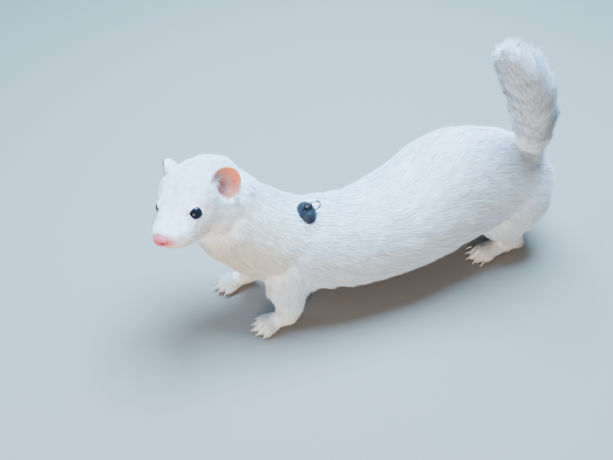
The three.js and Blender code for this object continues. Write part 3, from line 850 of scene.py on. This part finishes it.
# Sink is how deep a root sits, rest the degrees at a tip, rise the tallest a tuft may stand, tilt and soft
# the spread of the shading's normals between tufts and across one, and patch a tuft's size on the map
tuft = {
    "sink": 0.35, "taper": (1.15, 1.0, 0.3), "roof": 0.24, "rest": 4, "tailRest": 12, "turn": 0.18,
    "jitter": 0.1, "longer": (0.02, 1.25), "stray": (0.07, 1.5), "steepest": 1.5, "rise": 3.5,
    "patch": 0.003, "soft": 0.42, "tilt": 0.2, "tailTilt": 0.09, "floorClear": 0.15,
    "length": (0.78, 1.12), "wide": (0.75, 1.2),
}


# One joined mesh of closed, three-sided, tapered and bent tufts
def tuftMesh(name, roots, rings, rest, sway):
    size = len(roots["point"])
    normal, lie = roots["normal"], roots["lie"]
    turn = tuft["turn"] * waves(roots["point"], 9) + tuft["jitter"] * random.normal(size=size)
    lie = unit(lie * np.cos(turn)[:, None] + np.cross(normal, lie) * np.sin(turn)[:, None])
    side = np.cross(normal, lie)
    length = roots["length"] * random.uniform(*tuft["length"], size) * (1 + 0.1 * waves(roots["point"], 14))
    length *= np.where((random.random(size) < tuft["longer"][0]) & (rings == 1), tuft["longer"][1], 1)
    wide = roots["wide"] * random.uniform(*tuft["wide"], size)
    uneven = 1 + 0.16 * waves(roots["point"], 11) + 0.14 * random.normal(size=size)
    lift = np.radians(roots["lift"] * uneven)
    lift *= np.where(random.random(size) < tuft["stray"][0], tuft["stray"][1], 1)
    lift = np.clip(lift, 0.03, np.radians(roots["lift"]) * tuft["steepest"])
    if rings == 1:
        lift = np.minimum(lift, np.arcsin(np.minimum(tuft["rise"] / length, 0.9)))
    settle = np.radians(rest) * random.uniform(0.5, 1.3, size)
    swing = sway * random.normal(size=size)
    sink = np.minimum(tuft["sink"], 0.08 * length)
    at = roots["point"] - normal * sink[:, None]
    reach = (length + sink * 2) / rings
    vertices, along, across = [], [], []
    for ring in range(rings):
        share = ring / rings
        angle = (lift + (settle - lift) * share)[:, None]
        bend = (swing * share)[:, None]
        level = lie * np.cos(bend) + side * np.sin(bend)
        flank = side * np.cos(bend) - lie * np.sin(bend)
        heading = level * np.cos(angle) + normal * np.sin(angle)
        upright = normal * np.cos(angle) - level * np.sin(angle)
        half = (wide * np.interp(share, (0, 0.5, 1), tuft["taper"]) / 2)[:, None]
        vertices += [at + flank * half, at + upright * half * 2 * tuft["roof"], at - flank * half]
        along += [share] * 3
        across += [1, 0, -1]
        at = at + heading * reach[:, None]
    vertices.append(at)
    along.append(1)
    across.append(0)
    vertices = np.stack(vertices, 1)
    vertices[..., 2] = np.maximum(vertices[..., 2], tuft["floorClear"])
    across = np.array(across, float)
    uneven = tuft["tilt"] if rings == 1 else tuft["tailTilt"]
    tilt = uneven * (0.7 * waves(roots["point"], 5) + 0.7 * random.normal(size=size))[:, None]
    bow = uneven * (0.5 * waves(roots["point"], 7) + 0.5 * random.normal(size=size))[:, None]
    shine = normal + side * tilt + lie * bow
    normals = unit(shine[:, None] + tuft["soft"] * across[:, None] * side[:, None])
    return joinedTufts(name, vertices, normals, np.array(along, float), across, rings, roots)


# Shaded with the skin's own normals, each tuft rounded a little across
def joinedTufts(name, vertices, normals, along, across, rings, roots):
    size, each = vertices.shape[:2]
    faces = [(0, 2, 1)]
    for ring in range(rings - 1):
        for k in range(3):
            low, after = 3 * ring + k, 3 * ring + (k + 1) % 3
            faces.append((low, after, after + 3, low + 3))
    last = 3 * (rings - 1)
    faces += [(last + k, last + (k + 1) % 3, each - 1) for k in range(3)]
    lengths = np.array([len(one) for one in faces])
    pattern = np.concatenate([np.array(one) for one in faces])
    corners = (np.arange(size)[:, None] * each + pattern).ravel()
    mesh = bpy.data.meshes.new(name)
    mesh.vertices.add(size * each)
    mesh.vertices.foreach_set("co", (vertices * mm).astype(np.float32).ravel())
    mesh.loops.add(len(corners))
    mesh.loops.foreach_set("vertex_index", corners.astype(np.int32))
    mesh.polygons.add(size * len(faces))
    ends = np.cumsum(lengths)
    starts = (np.arange(size)[:, None] * len(pattern) + ends - lengths).ravel()
    mesh.polygons.foreach_set("loop_start", starts.astype(np.int32))
    mesh.polygons.foreach_set("use_smooth", np.ones(size * len(faces), bool))
    patch = np.stack([along[pattern] - 0.5, across[pattern] * 0.5], 1) * tuft["patch"]
    uv = (roots["uv"][:, None] + patch).reshape(-1, 2)
    mesh.uv_layers.new(name="OFBake").data.foreach_set("uv", uv.astype(np.float32).ravel())
    mesh.update(calc_edges=True)
    mesh.normals_split_custom_set_from_vertices(normals.reshape(-1, 3))
    addAttribute(mesh, "along", np.tile(along, size))
    shade = 0.5 + 0.22 * waves(roots["point"], 5) + 0.2 * random.normal(size=size)
    addAttribute(mesh, "shade", np.repeat(np.clip(shade, 0, 1), each))
    for key in ("creamAndBounceLight", "pink"):
        addAttribute(mesh, key, np.repeat(roots[key], each))
    return linked(name, mesh)


def coatPaint(name, under):
    def colour(wire):
        mottle = wire.noise(220, 3)
        tone = wire.reading("shade") * 0.3 + mottle * 0.14
        white = tone.span(0.06, 0.34).blend(coat["shade"], coat["white"])
        # The cream tint, partly the coat's own and partly painted warm bounce light
        base = (wire.reading("creamAndBounceLight") * (0.75 + mottle * 0.4)).blend(white, coat["creamAndBounceLight"])
        # The skin under the coat is blended towards the root grey, and each tuft darkens from tip to root:
        # painted shade under and deep in the fur
        if under:
            base = (0.35 + mottle * 0.2).blend(base, coat["root"])
        else:
            base = wire.reading("along").span(0.0, 0.5).blend(coat["root"], base)
        # The lip colour is painted shade in the mouth's crease and the groove under the nose
        return wire.reading("lip").blend(wire.reading("pink").blend(base, coat["pink"]), coat["lip"])

    soft = {"Roughness": 0.6, "Sheen_Weight": 0.25, "Sheen_Roughness": 0.5, "Specular_IOR_Level": 0.25}
    return newPaint(name, colour, (900, 4, 0.5, 0.0005) if under else None, **soft)


furPaint = coatPaint("fur", under=False)
skinPaint = coatPaint("skin", under=True)
finished(skin, skinPaint, fleshNodes + pawNodes + ["tail"])

# Tufts by region, in pieces under the limit of faces
coatPieces = {
    "coat_head": "skull", "coat_neck": "neck", "coat_torso": "trunk",
    "coat_legs": ("foreleg", "thigh", "shank"), "coat_paws": "paw", "coat_tail": "tail",
}
coatSway = 0.16
pieceLimit = 195000


def growCoat(made, fields):
    roots = rootsOn(made, fields)
    owner = roots["near"].argmax(1)
    grown = 0
    for name, starts in coatPieces.items():
        which = np.flatnonzero(np.array([region.startswith(starts) for region in regions])[owner])
        rings, rest = (2, tuft["tailRest"]) if name == "coat_tail" else (1, tuft["rest"])
        faces = 6 * rings - 2
        which = which[np.argsort(roots["point"][which, 0])]
        for index, part in enumerate(np.array_split(which, math.ceil(len(which) * faces / pieceLimit))):
            piece = tuftMesh(f"{name}_{index + 1}", chosen(roots, part), rings, rest, coatSway)
            finished(piece, furPaint)
            grown += len(part) * faces
            print(piece.name, len(part), "tufts")
    return grown


print("coat grown:", growCoat(skin, coatFields), "triangles")


# Places in an eye's or ear's own frame, back in the part's
def fromFacing(local, centre, facing, side, lean=0.0):
    return fromHead(local @ facingTurn(facing, side, lean).T + sided(centre, side))


# How far angles are from one given in degrees, the short way round
def fromAngle(angles, degrees):
    return np.angle(np.exp(1j * (angles - math.radians(degrees))))


# Rings of points, closed round each ring, and joined last to first or capped where asked
def addRings(bm, rings, looped=False, capped=False):
    rows = [[bm.verts.new(Vector(point * mm)) for point in ring] for ring in rings]
    pairs = list(zip(rows[:-1], rows[1:])) + ([(rows[-1], rows[0])] if looped else [])
    for low, high in pairs:
        for k in range(len(low)):
            after = (k + 1) % len(low)
            bm.faces.new((low[k], low[after], high[after], high[k]))
    if capped:
        bm.faces.new(rows[0])
        bm.faces.new(rows[-1])


def outwards(bm):
    bmesh.ops.recalc_face_normals(bm, faces=bm.faces)


def ringsMesh(name, rings, looped=False):
    bm = bmesh.new()
    addRings(bm, rings, looped)
    outwards(bm)
    return fromBmesh(name, bm)


# Fur on a piece that has its own facing, with the lie given in that frame
def furOn(made, growth, lie, centre, facing, side, lean=0.0):
    normal = normalsOf(made.data)
    lie = unit(fromFacing(lie, centre, facing, side, lean) - fromHead(sided(centre, side)))
    size = len(normal)
    fields = {
        "creamAndBounceLight": np.zeros(size), "pink": np.zeros(size), "near": np.zeros((size, len(regions))), **growth,
        "point": pointsOf(made.data), "normal": normal, "lie": unit(acrossNormal(lie, normal)),
    }
    fur = tuftMesh("fur_" + made.name, rootsOn(made, fields), 2, tuft["rest"], 0.2)
    return finished(fur, furPaint)


# Eyes: dark, wet balls, with lids whose opening runs to a point at the front corner
lid = {
    "wide": 4.55, "up": 3.45, "down": 3.6, "segments": 96, "rim": 0.35, "fullest": 5.18,
    "corner": (0.9, 172, 0.26), "back": (0.35, 0, 0.35), "pink": ((-5.4, 1.3), 1.7),
    "fur": {"length": 1.2, "wide": 0.28, "count": 9, "lift": 14},
}
# The specular tint colours the eye's reflections blue: a painted tint of sky light
eyePaint = newPaint(
    "eye", lambda wire: wire.noise(260, 1).blend((0.004, 0.005, 0.01), (0.012, 0.01, 0.016)),
    Roughness=0.1, Specular_IOR_Level=0.26, Specular_Tint=(0.5, 0.75, 1, 1))


def lidColour(wire):
    inner = wire.reading("edge").blend((0.84, 0.83, 0.85), (0.13, 0.08, 0.1))
    return wire.reading("pink").blend(inner, (0.66, 0.2, 0.26))


lidPaint = newPaint("lid", lidColour, (1200, 3, 0.35, 0.0003), Roughness=0.5)


def makeEye(name, side):
    bm = bmesh.new()
    bmesh.ops.create_uvsphere(bm, u_segments=48, v_segments=32, radius=face["eyeRadius"] * mm)
    ball = fromBmesh("eye_" + name, bm)
    setPoints(ball.data, fromFacing(pointsOf(ball.data), face["eye"], face["facing"], side))
    return finished(ball, eyePaint, ["eye_" + name])


def lidOpening(angle):
    height = np.where(np.sin(angle) > 0, lid["up"], lid["down"])
    opening = 1 / np.sqrt((np.cos(angle) / lid["wide"]) ** 2 + (np.sin(angle) / height) ** 2)
    for more, degrees, spread in (lid["corner"], lid["back"]):
        opening += more * hill(fromAngle(angle, degrees), 0, spread)
    return np.minimum(opening, lid["fullest"])


def makeLids(name, side):
    angle = np.linspace(0, 2 * math.pi, lid["segments"], endpoint=False)
    opening = lidOpening(angle)
    turn = facingTurn(face["facing"], side)
    centre = sided(face["eye"], side)

    def flat(reach):
        return np.stack([0 * angle, reach * np.cos(angle), reach * np.sin(angle)], 1)

    def ball(reach):
        return np.sqrt(np.maximum(face["eyeRadius"] ** 2 - reach ** 2, 0.2))

    def skinHeight(reach):
        starts = (flat(reach) + (12, 0, 0)) @ turn.T + centre
        hits = castInHead(skinTree, starts, np.tile(-turn[:, 0], (len(angle), 1)))
        return np.clip(((hits - centre) @ turn)[:, 0], -2.5, 4.5)

    # Out from the ball over the rim and down to the skin, then back under it
    edge = ball(opening)
    rows = [
        (opening * 0.96, edge - 0.35), (opening, edge + 0.08), (opening + 0.15, edge + 0.2),
        (opening + lid["rim"], edge + 0.16), (opening + 0.7, edge - 0.1),
        (opening + 1.0, 0.45 * (edge - 0.5) + 0.55 * (skinHeight(opening + 1.0) + 0.15)),
        (opening + 1.4, skinHeight(opening + 1.4) + 0.05), (opening + 1.9, skinHeight(opening + 1.9) - 0.5),
        (opening + 1.1, skinHeight(opening + 1.1) - 1.5),
    ]
    rings = []
    for reach, height in rows:
        local = flat(reach)
        local[:, 0] = height
        rings.append(fromFacing(local, face["eye"], face["facing"], side))
    made = ringsMesh("lids_" + name, rings, looped=True)
    unwrap(made)
    places = (toHead(pointsOf(made.data)) - centre) @ turn
    pink = hill(np.linalg.norm(places[:, 1:] - lid["pink"][0], axis=1), 0, lid["pink"][1])
    ringOf = np.repeat(np.arange(len(rows)), lid["segments"])
    addAttribute(made.data, "pink", pink)
    addAttribute(made.data, "edge", np.interp(ringOf, (0, 2, 3, 4, 8), (1, 1, 0.85, 0.1, 0)))
    furry = np.isin(ringOf, (4, 5, 6)) * (1 - pink)
    outward = unit(np.stack([0 * ringOf, places[:, 1] + 2.5, places[:, 2]], 1))
    fur = {key: value * np.ones(len(ringOf)) for key, value in lid["fur"].items()}
    furOn(made, {**fur, "count": fur["count"] * furry}, outward, face["eye"], face["facing"], side)
    return finished(made, lidPaint)


for name, side in sides.items():
    makeEye(name, side)
    makeLids(name, side)
print("eyes and lids made")

# The nose: a moist pad with two curled nostrils and a groove down its middle
noseShape = {
    "nostril": (2.9, 0.0), "size": (1.15, 0.85), "deep": 2.6, "tail": (4.35, -0.75), "tailSize": (0.8, 0.5),
    "tailDeep": 1.1, "wing": (3.2, 0.5), "wingSize": (2.0, 1.7), "wingRise": 0.45,
    "groove": 0.7, "grooveWide": 0.32,
}


def noseColour(wire):
    pink = wire.noise(700, 3).span(0.35, 0.7).blend((0.55, 0.06, 0.09), (0.7, 0.13, 0.16))
    # Painted shade darkens the nostrils' pits
    return wire.reading("recessShade").blend(pink, (0.22, 0.05, 0.06))


nosePaint = newPaint("nose", noseColour, (1900, 2, 0.5, 0.0003), Roughness=0.55)


def makeNose():
    bm = bmesh.new()
    bmesh.ops.create_uvsphere(bm, u_segments=96, v_segments=64, radius=mm)
    made = fromBmesh("nose_pad", bm)
    shape = noseShape
    x, y, z = (pointsOf(made.data)[:, [2, 0, 1]] * (np.array(face["noseSize"]) / 2)).T
    recessShade = np.zeros(len(x))
    for side in sides.values():
        pit, tail, wing = (
            hill(y * side, shape[at][0], shape[size][0]) * hill(z, shape[at][1], shape[size][1])
            for at, size in (("nostril", "size"), ("tail", "tailSize"), ("wing", "wingSize")))
        depth = shape["deep"] * pit + shape["tailDeep"] * tail - shape["wingRise"] * wing
        x = x - np.where(x > -0.5, depth, 0)
        # Painted shade in each nostril's pit and slit
        recessShade = np.maximum(recessShade, np.clip(1.3 * pit + 0.8 * tail - 0.2, 0, 1))
    x = x - shape["groove"] * hill(y, 0, shape["grooveWide"]) * ramp(1.6, -0.6, z) * (x > 0)
    setPoints(made.data, fromHead(np.stack([x, y, z], 1) + face["nose"]))
    edited(made, outwards)
    addAttribute(made.data, "recessShade", recessShade)
    return finished(made, nosePaint, ["nose"])


makeNose()
print("nose made")

# Ears: thin cups with a free rim, a fold and a knob inside, and fine fur outside. Fold and knob are given by
# their height, how far out and how broad they are, and their angle and spread round the cup.
earShape = {
    "topScale": 0.87, "wall": 1.0, "segments": 56, "rings": 18,
    "rimBack": 1.6, "rimFront": -3.4, "front": (215, 0.85),
    "fold": (2.0, 0.56, 0.13, -25, 0.8), "knob": (2.6, 0.62, 0.16, 205, 0.38), "curl": 0.7,
}


def earColour(wire):
    pink = wire.noise(160, 3).span(0.3, 0.7).blend((0.8, 0.26, 0.2), (0.9, 0.38, 0.27))
    # The glow is painted light shining through the ear from behind, orange towards the upper rim
    glow = wire.reading("glow").blend(pink, (1.0, 0.27, 0.08))
    # Painted shade darkens the ear's canal
    deep = wire.reading("recessShade").blend(glow, (0.3, 0.12, 0.16))
    return wire.reading("furred").blend(deep, (0.86, 0.8, 0.78))


earPaint = newPaint("ear", earColour, (800, 3, 0.3, 0.0003), Roughness=0.55)


def earRings(side):
    shape = earShape
    reach = np.linspace(0.04, 1, shape["rings"])
    angle = np.linspace(0, 2 * math.pi, shape["segments"], endpoint=False)
    r, turn = (grid.ravel() for grid in np.meshgrid(reach, angle, indexing="ij"))
    top = np.sin(turn)
    front = hill(fromAngle(turn, shape["front"][0]), 0, shape["front"][1])
    x = -face["earDeep"] * np.maximum(1 - r ** 2, 0) ** 0.425
    x += (shape["rimBack"] * (0.5 + 0.5 * top) + shape["rimFront"] * front) * r ** 3
    for high, out, broad, degrees, spread in (shape["fold"], shape["knob"]):
        x += high * hill(r, out, broad) * hill(fromAngle(turn, degrees), 0, spread)
    wave = 1 + 0.025 * np.sin(3 * turn + 0.6) * r ** 2
    spread = r * wave * (1 - 0.1 * front * r ** 2)
    y, z = face["earHalf"][0] * spread * np.cos(turn), face["earHalf"][1] * spread * top
    z *= np.where(z > 0, shape["topScale"], 1)
    x -= shape["curl"] * ramp(0.86, 1, r) * ramp(0.1, 0.9, top)
    rings = fromFacing(np.stack([x, y, z], 1), face["ear"], face["earFacing"], side, face["lean"])
    return rings.reshape(shape["rings"], shape["segments"], 3)


def makeEar(name, side):
    made = ringsMesh("ear_" + name, earRings(side))
    outward = Vector(headTurn @ unit(sided(face["earFacing"], side)))

    # The cup's hollow side faces outwards
    def close(bm):
        inner = [edge for edge in bm.edges if edge.is_boundary]
        inner = [edge for edge in inner if all(vert.index < earShape["segments"] for vert in edge.verts)]
        bmesh.ops.holes_fill(bm, edges=inner)
        bm.normal_update()
        bm.faces.ensure_lookup_table()
        if bm.faces[0].normal.dot(outward) < 0:
            bmesh.ops.reverse_faces(bm, faces=bm.faces)

    edited(made, close)
    thicken = made.modifiers.new("wall", "SOLIDIFY")
    thicken.thickness = earShape["wall"] * mm
    thicken.offset = -1
    smooth = made.modifiers.new("smooth", "SUBSURF")
    smooth.levels = smooth.render_levels = 1
    withModifiers(made)
    turnBack = facingTurn(face["earFacing"], side, face["lean"])
    places = (toHead(pointsOf(made.data)) - sided(face["ear"], side)) @ turnBack
    normals = (normalsOf(made.data) @ headTurn) @ turnBack
    r = np.hypot(places[:, 1] / face["earHalf"][0], places[:, 2] / face["earHalf"][1])
    inner = ramp(-0.2, 0.3, normals[:, 0])
    # Painted backlight glow, towards the rim and higher up
    addAttribute(made.data, "glow", ramp(0.35, 0.95, r) * ramp(-2, 6, places[:, 2] + 0.5 * places[:, 1]))
    # Painted shade round the canal, on the inner side only
    addAttribute(made.data, "recessShade", inner * hill(np.hypot(places[:, 1] + 1.5, places[:, 2] + 3.5), 0, 4.2))
    addAttribute(made.data, "furred", (1 - inner) * 0.8)
    finished(made, earPaint, ["ear_" + name])
    unwrap(made)
    return made, places, normals, r


# Fur on an ear: short and close outside, a fringe along the front edge and a few hairs in the cup
def furEar(made, places, normals, r, side):
    outer = ramp(0.1, -0.5, normals[:, 0])
    fringe = (1 - outer) * ramp(0.62, 0.8, r) * ramp(1.5, -5, places[:, 1])
    cup = (1 - outer) * ramp(0.78, 0.5, r)
    lie = unit(np.stack([0.25 + 0 * r, places[:, 1] * 0.6 + 3, places[:, 2] + 2], 1))
    growth = {
        "count": 4.2 * outer + 2 * fringe + 1.6 * cup, "length": 2.1 * outer + 2.8 * fringe + 5 * cup,
        "wide": 0.36 * outer + 0.3 * fringe + 0.15 * cup, "lift": 10 * outer + 22 * fringe + 42 * cup,
        "creamAndBounceLight": 0.1 + 0 * r, "pink": 0.5 * cup,
    }
    return furOn(made, growth, lie, face["ear"], face["earFacing"], side, face["lean"])


for name, side in sides.items():
    ear, places, normals, r = makeEar(name, side)
    fur = furEar(ear, places, normals, r, side)
    print(fur.name, len(fur.data.polygons) // 7, "tufts")

# Claws on every toe
claw = {
    "long": 4, "thick": 1.25, "drop": 2.2, "segments": 10, "rings": 7,
    "from": 10.7, "height": 3.4, "arch": 0.7,
}
clawPaint = newPaint(
    "claw", lambda wire: wire.reading("along").blend((0.8, 0.6, 0.56), (0.88, 0.83, 0.76)), Roughness=0.35)


def makeClaws(name, paw):
    along = []
    angle = np.linspace(0, 2 * math.pi, claw["segments"], endpoint=False)
    bm = bmesh.new()
    for matrix, reach in toeFrames(paw):
        rings = []
        for t in np.linspace(0, 1, claw["rings"]):
            radius = claw["thick"] / 2 * (1 - t) ** 0.6 + 0.08
            x = claw["from"] + reach + t * claw["long"]
            z = claw["height"] + claw["arch"] * math.sin(t * math.pi * 0.5) - claw["drop"] * t ** 2
            ring = np.stack([x + 0 * angle, radius * 0.75 * np.cos(angle), z + radius * np.sin(angle)], 1)
            rings.append(placed(ring, matrix))
            along += [t] * claw["segments"]
        addRings(bm, rings, capped=True)
    outwards(bm)
    made = fromBmesh("claws_" + name, bm)
    addAttribute(made.data, "along", along)
    return finished(made, clawPaint)


for name, paw in paws.items():
    makeClaws(name, paw)
print("claws made")


# Single hairs that start at places of the head's frame: whiskers and the long hairs over the eyes
def rootsAt(places, lies, length, wide, lift):
    roots = {"point": [], "normal": [], "uv": []}
    uv = uvOf(skin.data)
    for place in fromHead(places):
        spot, normal, index, _ = skinTree.find_nearest(Vector(place * mm))
        roots["point"].append(np.array(spot) / mm)
        roots["normal"].append(np.array(normal))
        roots["uv"].append(uv[skin.data.polygons[index].loop_start])
    roots = {key: np.array(values) for key, values in roots.items()}
    lie = unit(np.asarray(lies, float)) @ headTurn.T
    roots["lie"] = unit(acrossNormal(lie, roots["normal"]))
    for key, value in (("length", length), ("wide", wide), ("lift", lift), ("creamAndBounceLight", 0.0), ("pink", 0.0)):
        roots[key] = np.broadcast_to(np.asarray(value, float), len(lie)).copy()
    return roots


whiskers = {
    "rows": 4, "inRow": 5, "x": (41, 50), "z": (-11.5, -4.5), "long": (27, 13), "wide": 0.18, "lift": 46,
    "brow": 5,
}


def makeWhiskers(name, side):
    places, lies, lengths = [], [], []
    last = (whiskers["rows"] - 1, whiskers["inRow"] - 1)
    for row in range(whiskers["rows"]):
        for step in range(whiskers["inRow"]):
            x = np.interp(step, (0, last[1]), whiskers["x"]) + 0.8 * (row % 2)
            places.append((x, 12 * side, np.interp(row, (0, last[0]), whiskers["z"])))
            lies.append((-1, 0.2 * side, -0.4 + 0.13 * row))
            lengths.append(np.interp(step, (0, last[1]), whiskers["long"]))
    for step in range(whiskers["brow"]):
        places.append((27 + 1.6 * step, (13.5 - 0.9 * step) * side, 9))
        lies.append((-1, 0.1 * side, 0.35))
        lengths.append(13 - step)
    roots = rootsAt(places, lies, lengths, whiskers["wide"], whiskers["lift"])
    return finished(tuftMesh("whiskers_" + name, roots, 6, -14, 0.15), furPaint)


for name, side in sides.items():
    makeWhiskers(name, side)
print("whiskers made")

# The harness: webbing just under the skin, and on the withers an oval keeper with a bail and a ring
harness = {
    "neck": {"centre": (-67.6, -4.9, 66), "normal": (0.74, -0.1, -0.67)},
    "girth": {"centre": (-40.6, -7.9, 53), "normal": (0.97, 0, 0.22)},
    "wide": 6.5, "thick": 1.1, "steps": 96, "above": -1.6, "bevel": 0.3, "under": 0.4,
}
webPaint = newPaint(
    "webbing", lambda wire: wire.noise(900).blend((0.015, 0.017, 0.022), (0.04, 0.042, 0.05)),
    (1500, 2, 0.5, 0.0003), Roughness=0.8)


def strapRings(loop):
    axis = unit(np.array(loop["normal"], float))
    level = unit(np.cross((0, 0, 1), axis))
    rise = np.cross(axis, level)
    hits = []
    for angle in np.linspace(0, 2 * math.pi, harness["steps"], endpoint=False):
        away = level * math.cos(angle) + rise * math.sin(angle)
        spot, normal, _, _ = skinTree.ray_cast(Vector(loop["centre"]) * mm, Vector(away))
        hits.append((np.array(spot) / mm, np.array(normal)))
    points = np.array([hit[0] for hit in hits])
    normals = unit(sum(np.roll(np.array([hit[1] for hit in hits]), shift, 0) for shift in range(-3, 4)))
    points = sum(np.roll(points, shift, 0) for shift in (-1, 0, 1)) / 3
    run = unit(np.roll(points, -1, 0) - np.roll(points, 1, 0))
    across = unit(np.cross(run, normals))
    half, high = harness["wide"] / 2, harness["above"] + harness["thick"]
    low = harness["above"] - harness["under"]
    inner, shoulder = half - harness["bevel"], high - harness["bevel"]
    section = [(-half, low), (-half, shoulder), (-inner, high), (inner, high), (half, shoulder), (half, low)]
    overs, ups = (np.array(values)[:, None] for values in zip(*section))
    return [point + over * overs + normal * ups for point, over, normal in zip(points, across, normals)]


straps = [ringsMesh(name, strapRings(harness[name]), looped=True) for name in ("neck", "girth")]
finished(joined("straps", straps), webPaint, ["harness_straps"])

keeper = {
    "at": (-48.6, -14.0, 87.6), "tilt": 14, "long": 13, "across": 17.5, "high": 7.4, "low": 3.0, "slot": 2.2,
}
bail = {"radius": 2.7, "thick": 0.85, "rise": 1.3, "sunk": 0.8}
dRing = {"radius": 5.2, "thick": 0.75, "droop": 30}
keeperPaint = newPaint(
    "keeper",
    lambda wire: wire.noise(90, 3).span(0.3, 0.7).blend((0.008, 0.011, 0.018), (0.022, 0.03, 0.044)),
    (1100, 3, 0.25, 0.0002), Roughness=0.6, Specular_IOR_Level=0.3)
ringPaint = newPaint(
    "ring", lambda wire: wire.noise(300).blend((0.32, 0.33, 0.35), (0.42, 0.43, 0.45)),
    Roughness=0.3, Metallic=1.0)


def torusRings(radius, thick, steps=48, facets=14):
    rings = []
    for turn in np.linspace(0, 2 * math.pi, steps, endpoint=False):
        around = np.linspace(0, 2 * math.pi, facets, endpoint=False)
        reach = radius + thick * np.cos(around)
        rings.append(np.stack([reach * math.cos(turn), thick * np.sin(around), reach * math.sin(turn)], 1))
    return rings


# The keeper's frame, and in it the ring's, which hangs from the bail
keeperFrame = Matrix.Translation(keeper["at"]) @ Matrix.Rotation(math.radians(keeper["tilt"]), 4, "X")
ringFrame = keeperFrame @ Matrix.Translation((0, 0, keeper["high"] + bail["rise"]))
ringFrame @= Matrix.Rotation(math.radians(dRing["droop"]), 4, "Y")
ringFrame @= Matrix.Translation((dRing["radius"], 0, 0))


def makeKeeper():
    bm = bmesh.new()
    bmesh.ops.create_uvsphere(bm, u_segments=64, v_segments=40, radius=mm)
    dome = fromBmesh("dome", bm)
    x, y, z = pointsOf(dome.data).T
    flat = np.hypot(x, y)
    up = np.where(z > 0, keeper["high"] * (1 - 0.16 * flat ** 4), keeper["low"]) * z
    edge = 1 + 0.05 * hill(z, 0.12, 0.1)
    x, y = x * keeper["long"] / 2 * edge, y * keeper["across"] / 2 * edge
    up -= keeper["slot"] * hill(x, 0, 1.5) * hill(y, 0, 4.2) * (z > 0)
    setPoints(dome.data, placed(np.stack([x, y, up], 1), keeperFrame))
    height = keeper["high"] + bail["rise"] - bail["sunk"]
    rings = [placed(ring + (0, 0, height), keeperFrame) for ring in torusRings(bail["radius"], bail["thick"])]
    pieces = (dome, ringsMesh("bail", rings, looped=True))
    finished(joined("keeper", pieces), keeperPaint, ["harness_keeper"])
    rings = [placed(ring, ringFrame) for ring in torusRings(dRing["radius"], dRing["thick"])]
    finished(ringsMesh("ring", rings, looped=True), ringPaint, ["harness_ring"])


makeKeeper()
print("harness made")

# A pale floor and soft light: a wide cool key from above and behind, and a warm fill from the camera's side
studio = {
    "floor": 1600, "floorColour": (0.27, 0.235, 0.21), "world": ((0.58, 0.78, 1.0), 0.38),
    "key": {"at": (120, 180, 800), "size": 620, "power": 58, "colour": (0.36, 0.68, 1.0)},
    "fill": {"at": (-460, -640, 180), "size": 520, "power": 9, "colour": (1.0, 0.84, 0.66)},
    "rim": {"at": (-480, 80, 420), "size": 240, "power": 3, "colour": (0.3, 0.62, 1.0)},
}


def addLight(name, light):
    data = bpy.data.lights.new(name, "AREA")
    data.shape = "DISK"
    data.energy, data.size, data.color = light["power"], light["size"] * mm, light["colour"]
    made = bpy.data.objects.new(name, data)
    made.location = Vector(light["at"]) * mm
    made.rotation_euler = (Vector((0, 0, 60 * mm)) - made.location).to_track_quat("-Z", "Y").to_euler()
    bpy.context.scene.collection.objects.link(made)


for name in ("key", "fill", "rim"):
    addLight(name, studio[name])
world = bpy.data.worlds.new("world")
world.use_nodes = True
background = world.node_tree.nodes["Background"].inputs
background[0].default_value = (*studio["world"][0], 1)
background[1].default_value = studio["world"][1]
bpy.context.scene.world = world
floorForm = bmesh.new()
bmesh.ops.create_grid(floorForm, x_segments=1, y_segments=1, size=studio["floor"] * mm / 2)
floor = fromBmesh("floor", floorForm)
floor.data.materials.append(newPaint("floor", lambda wire: (*studio["floorColour"], 1), Roughness=0.9))
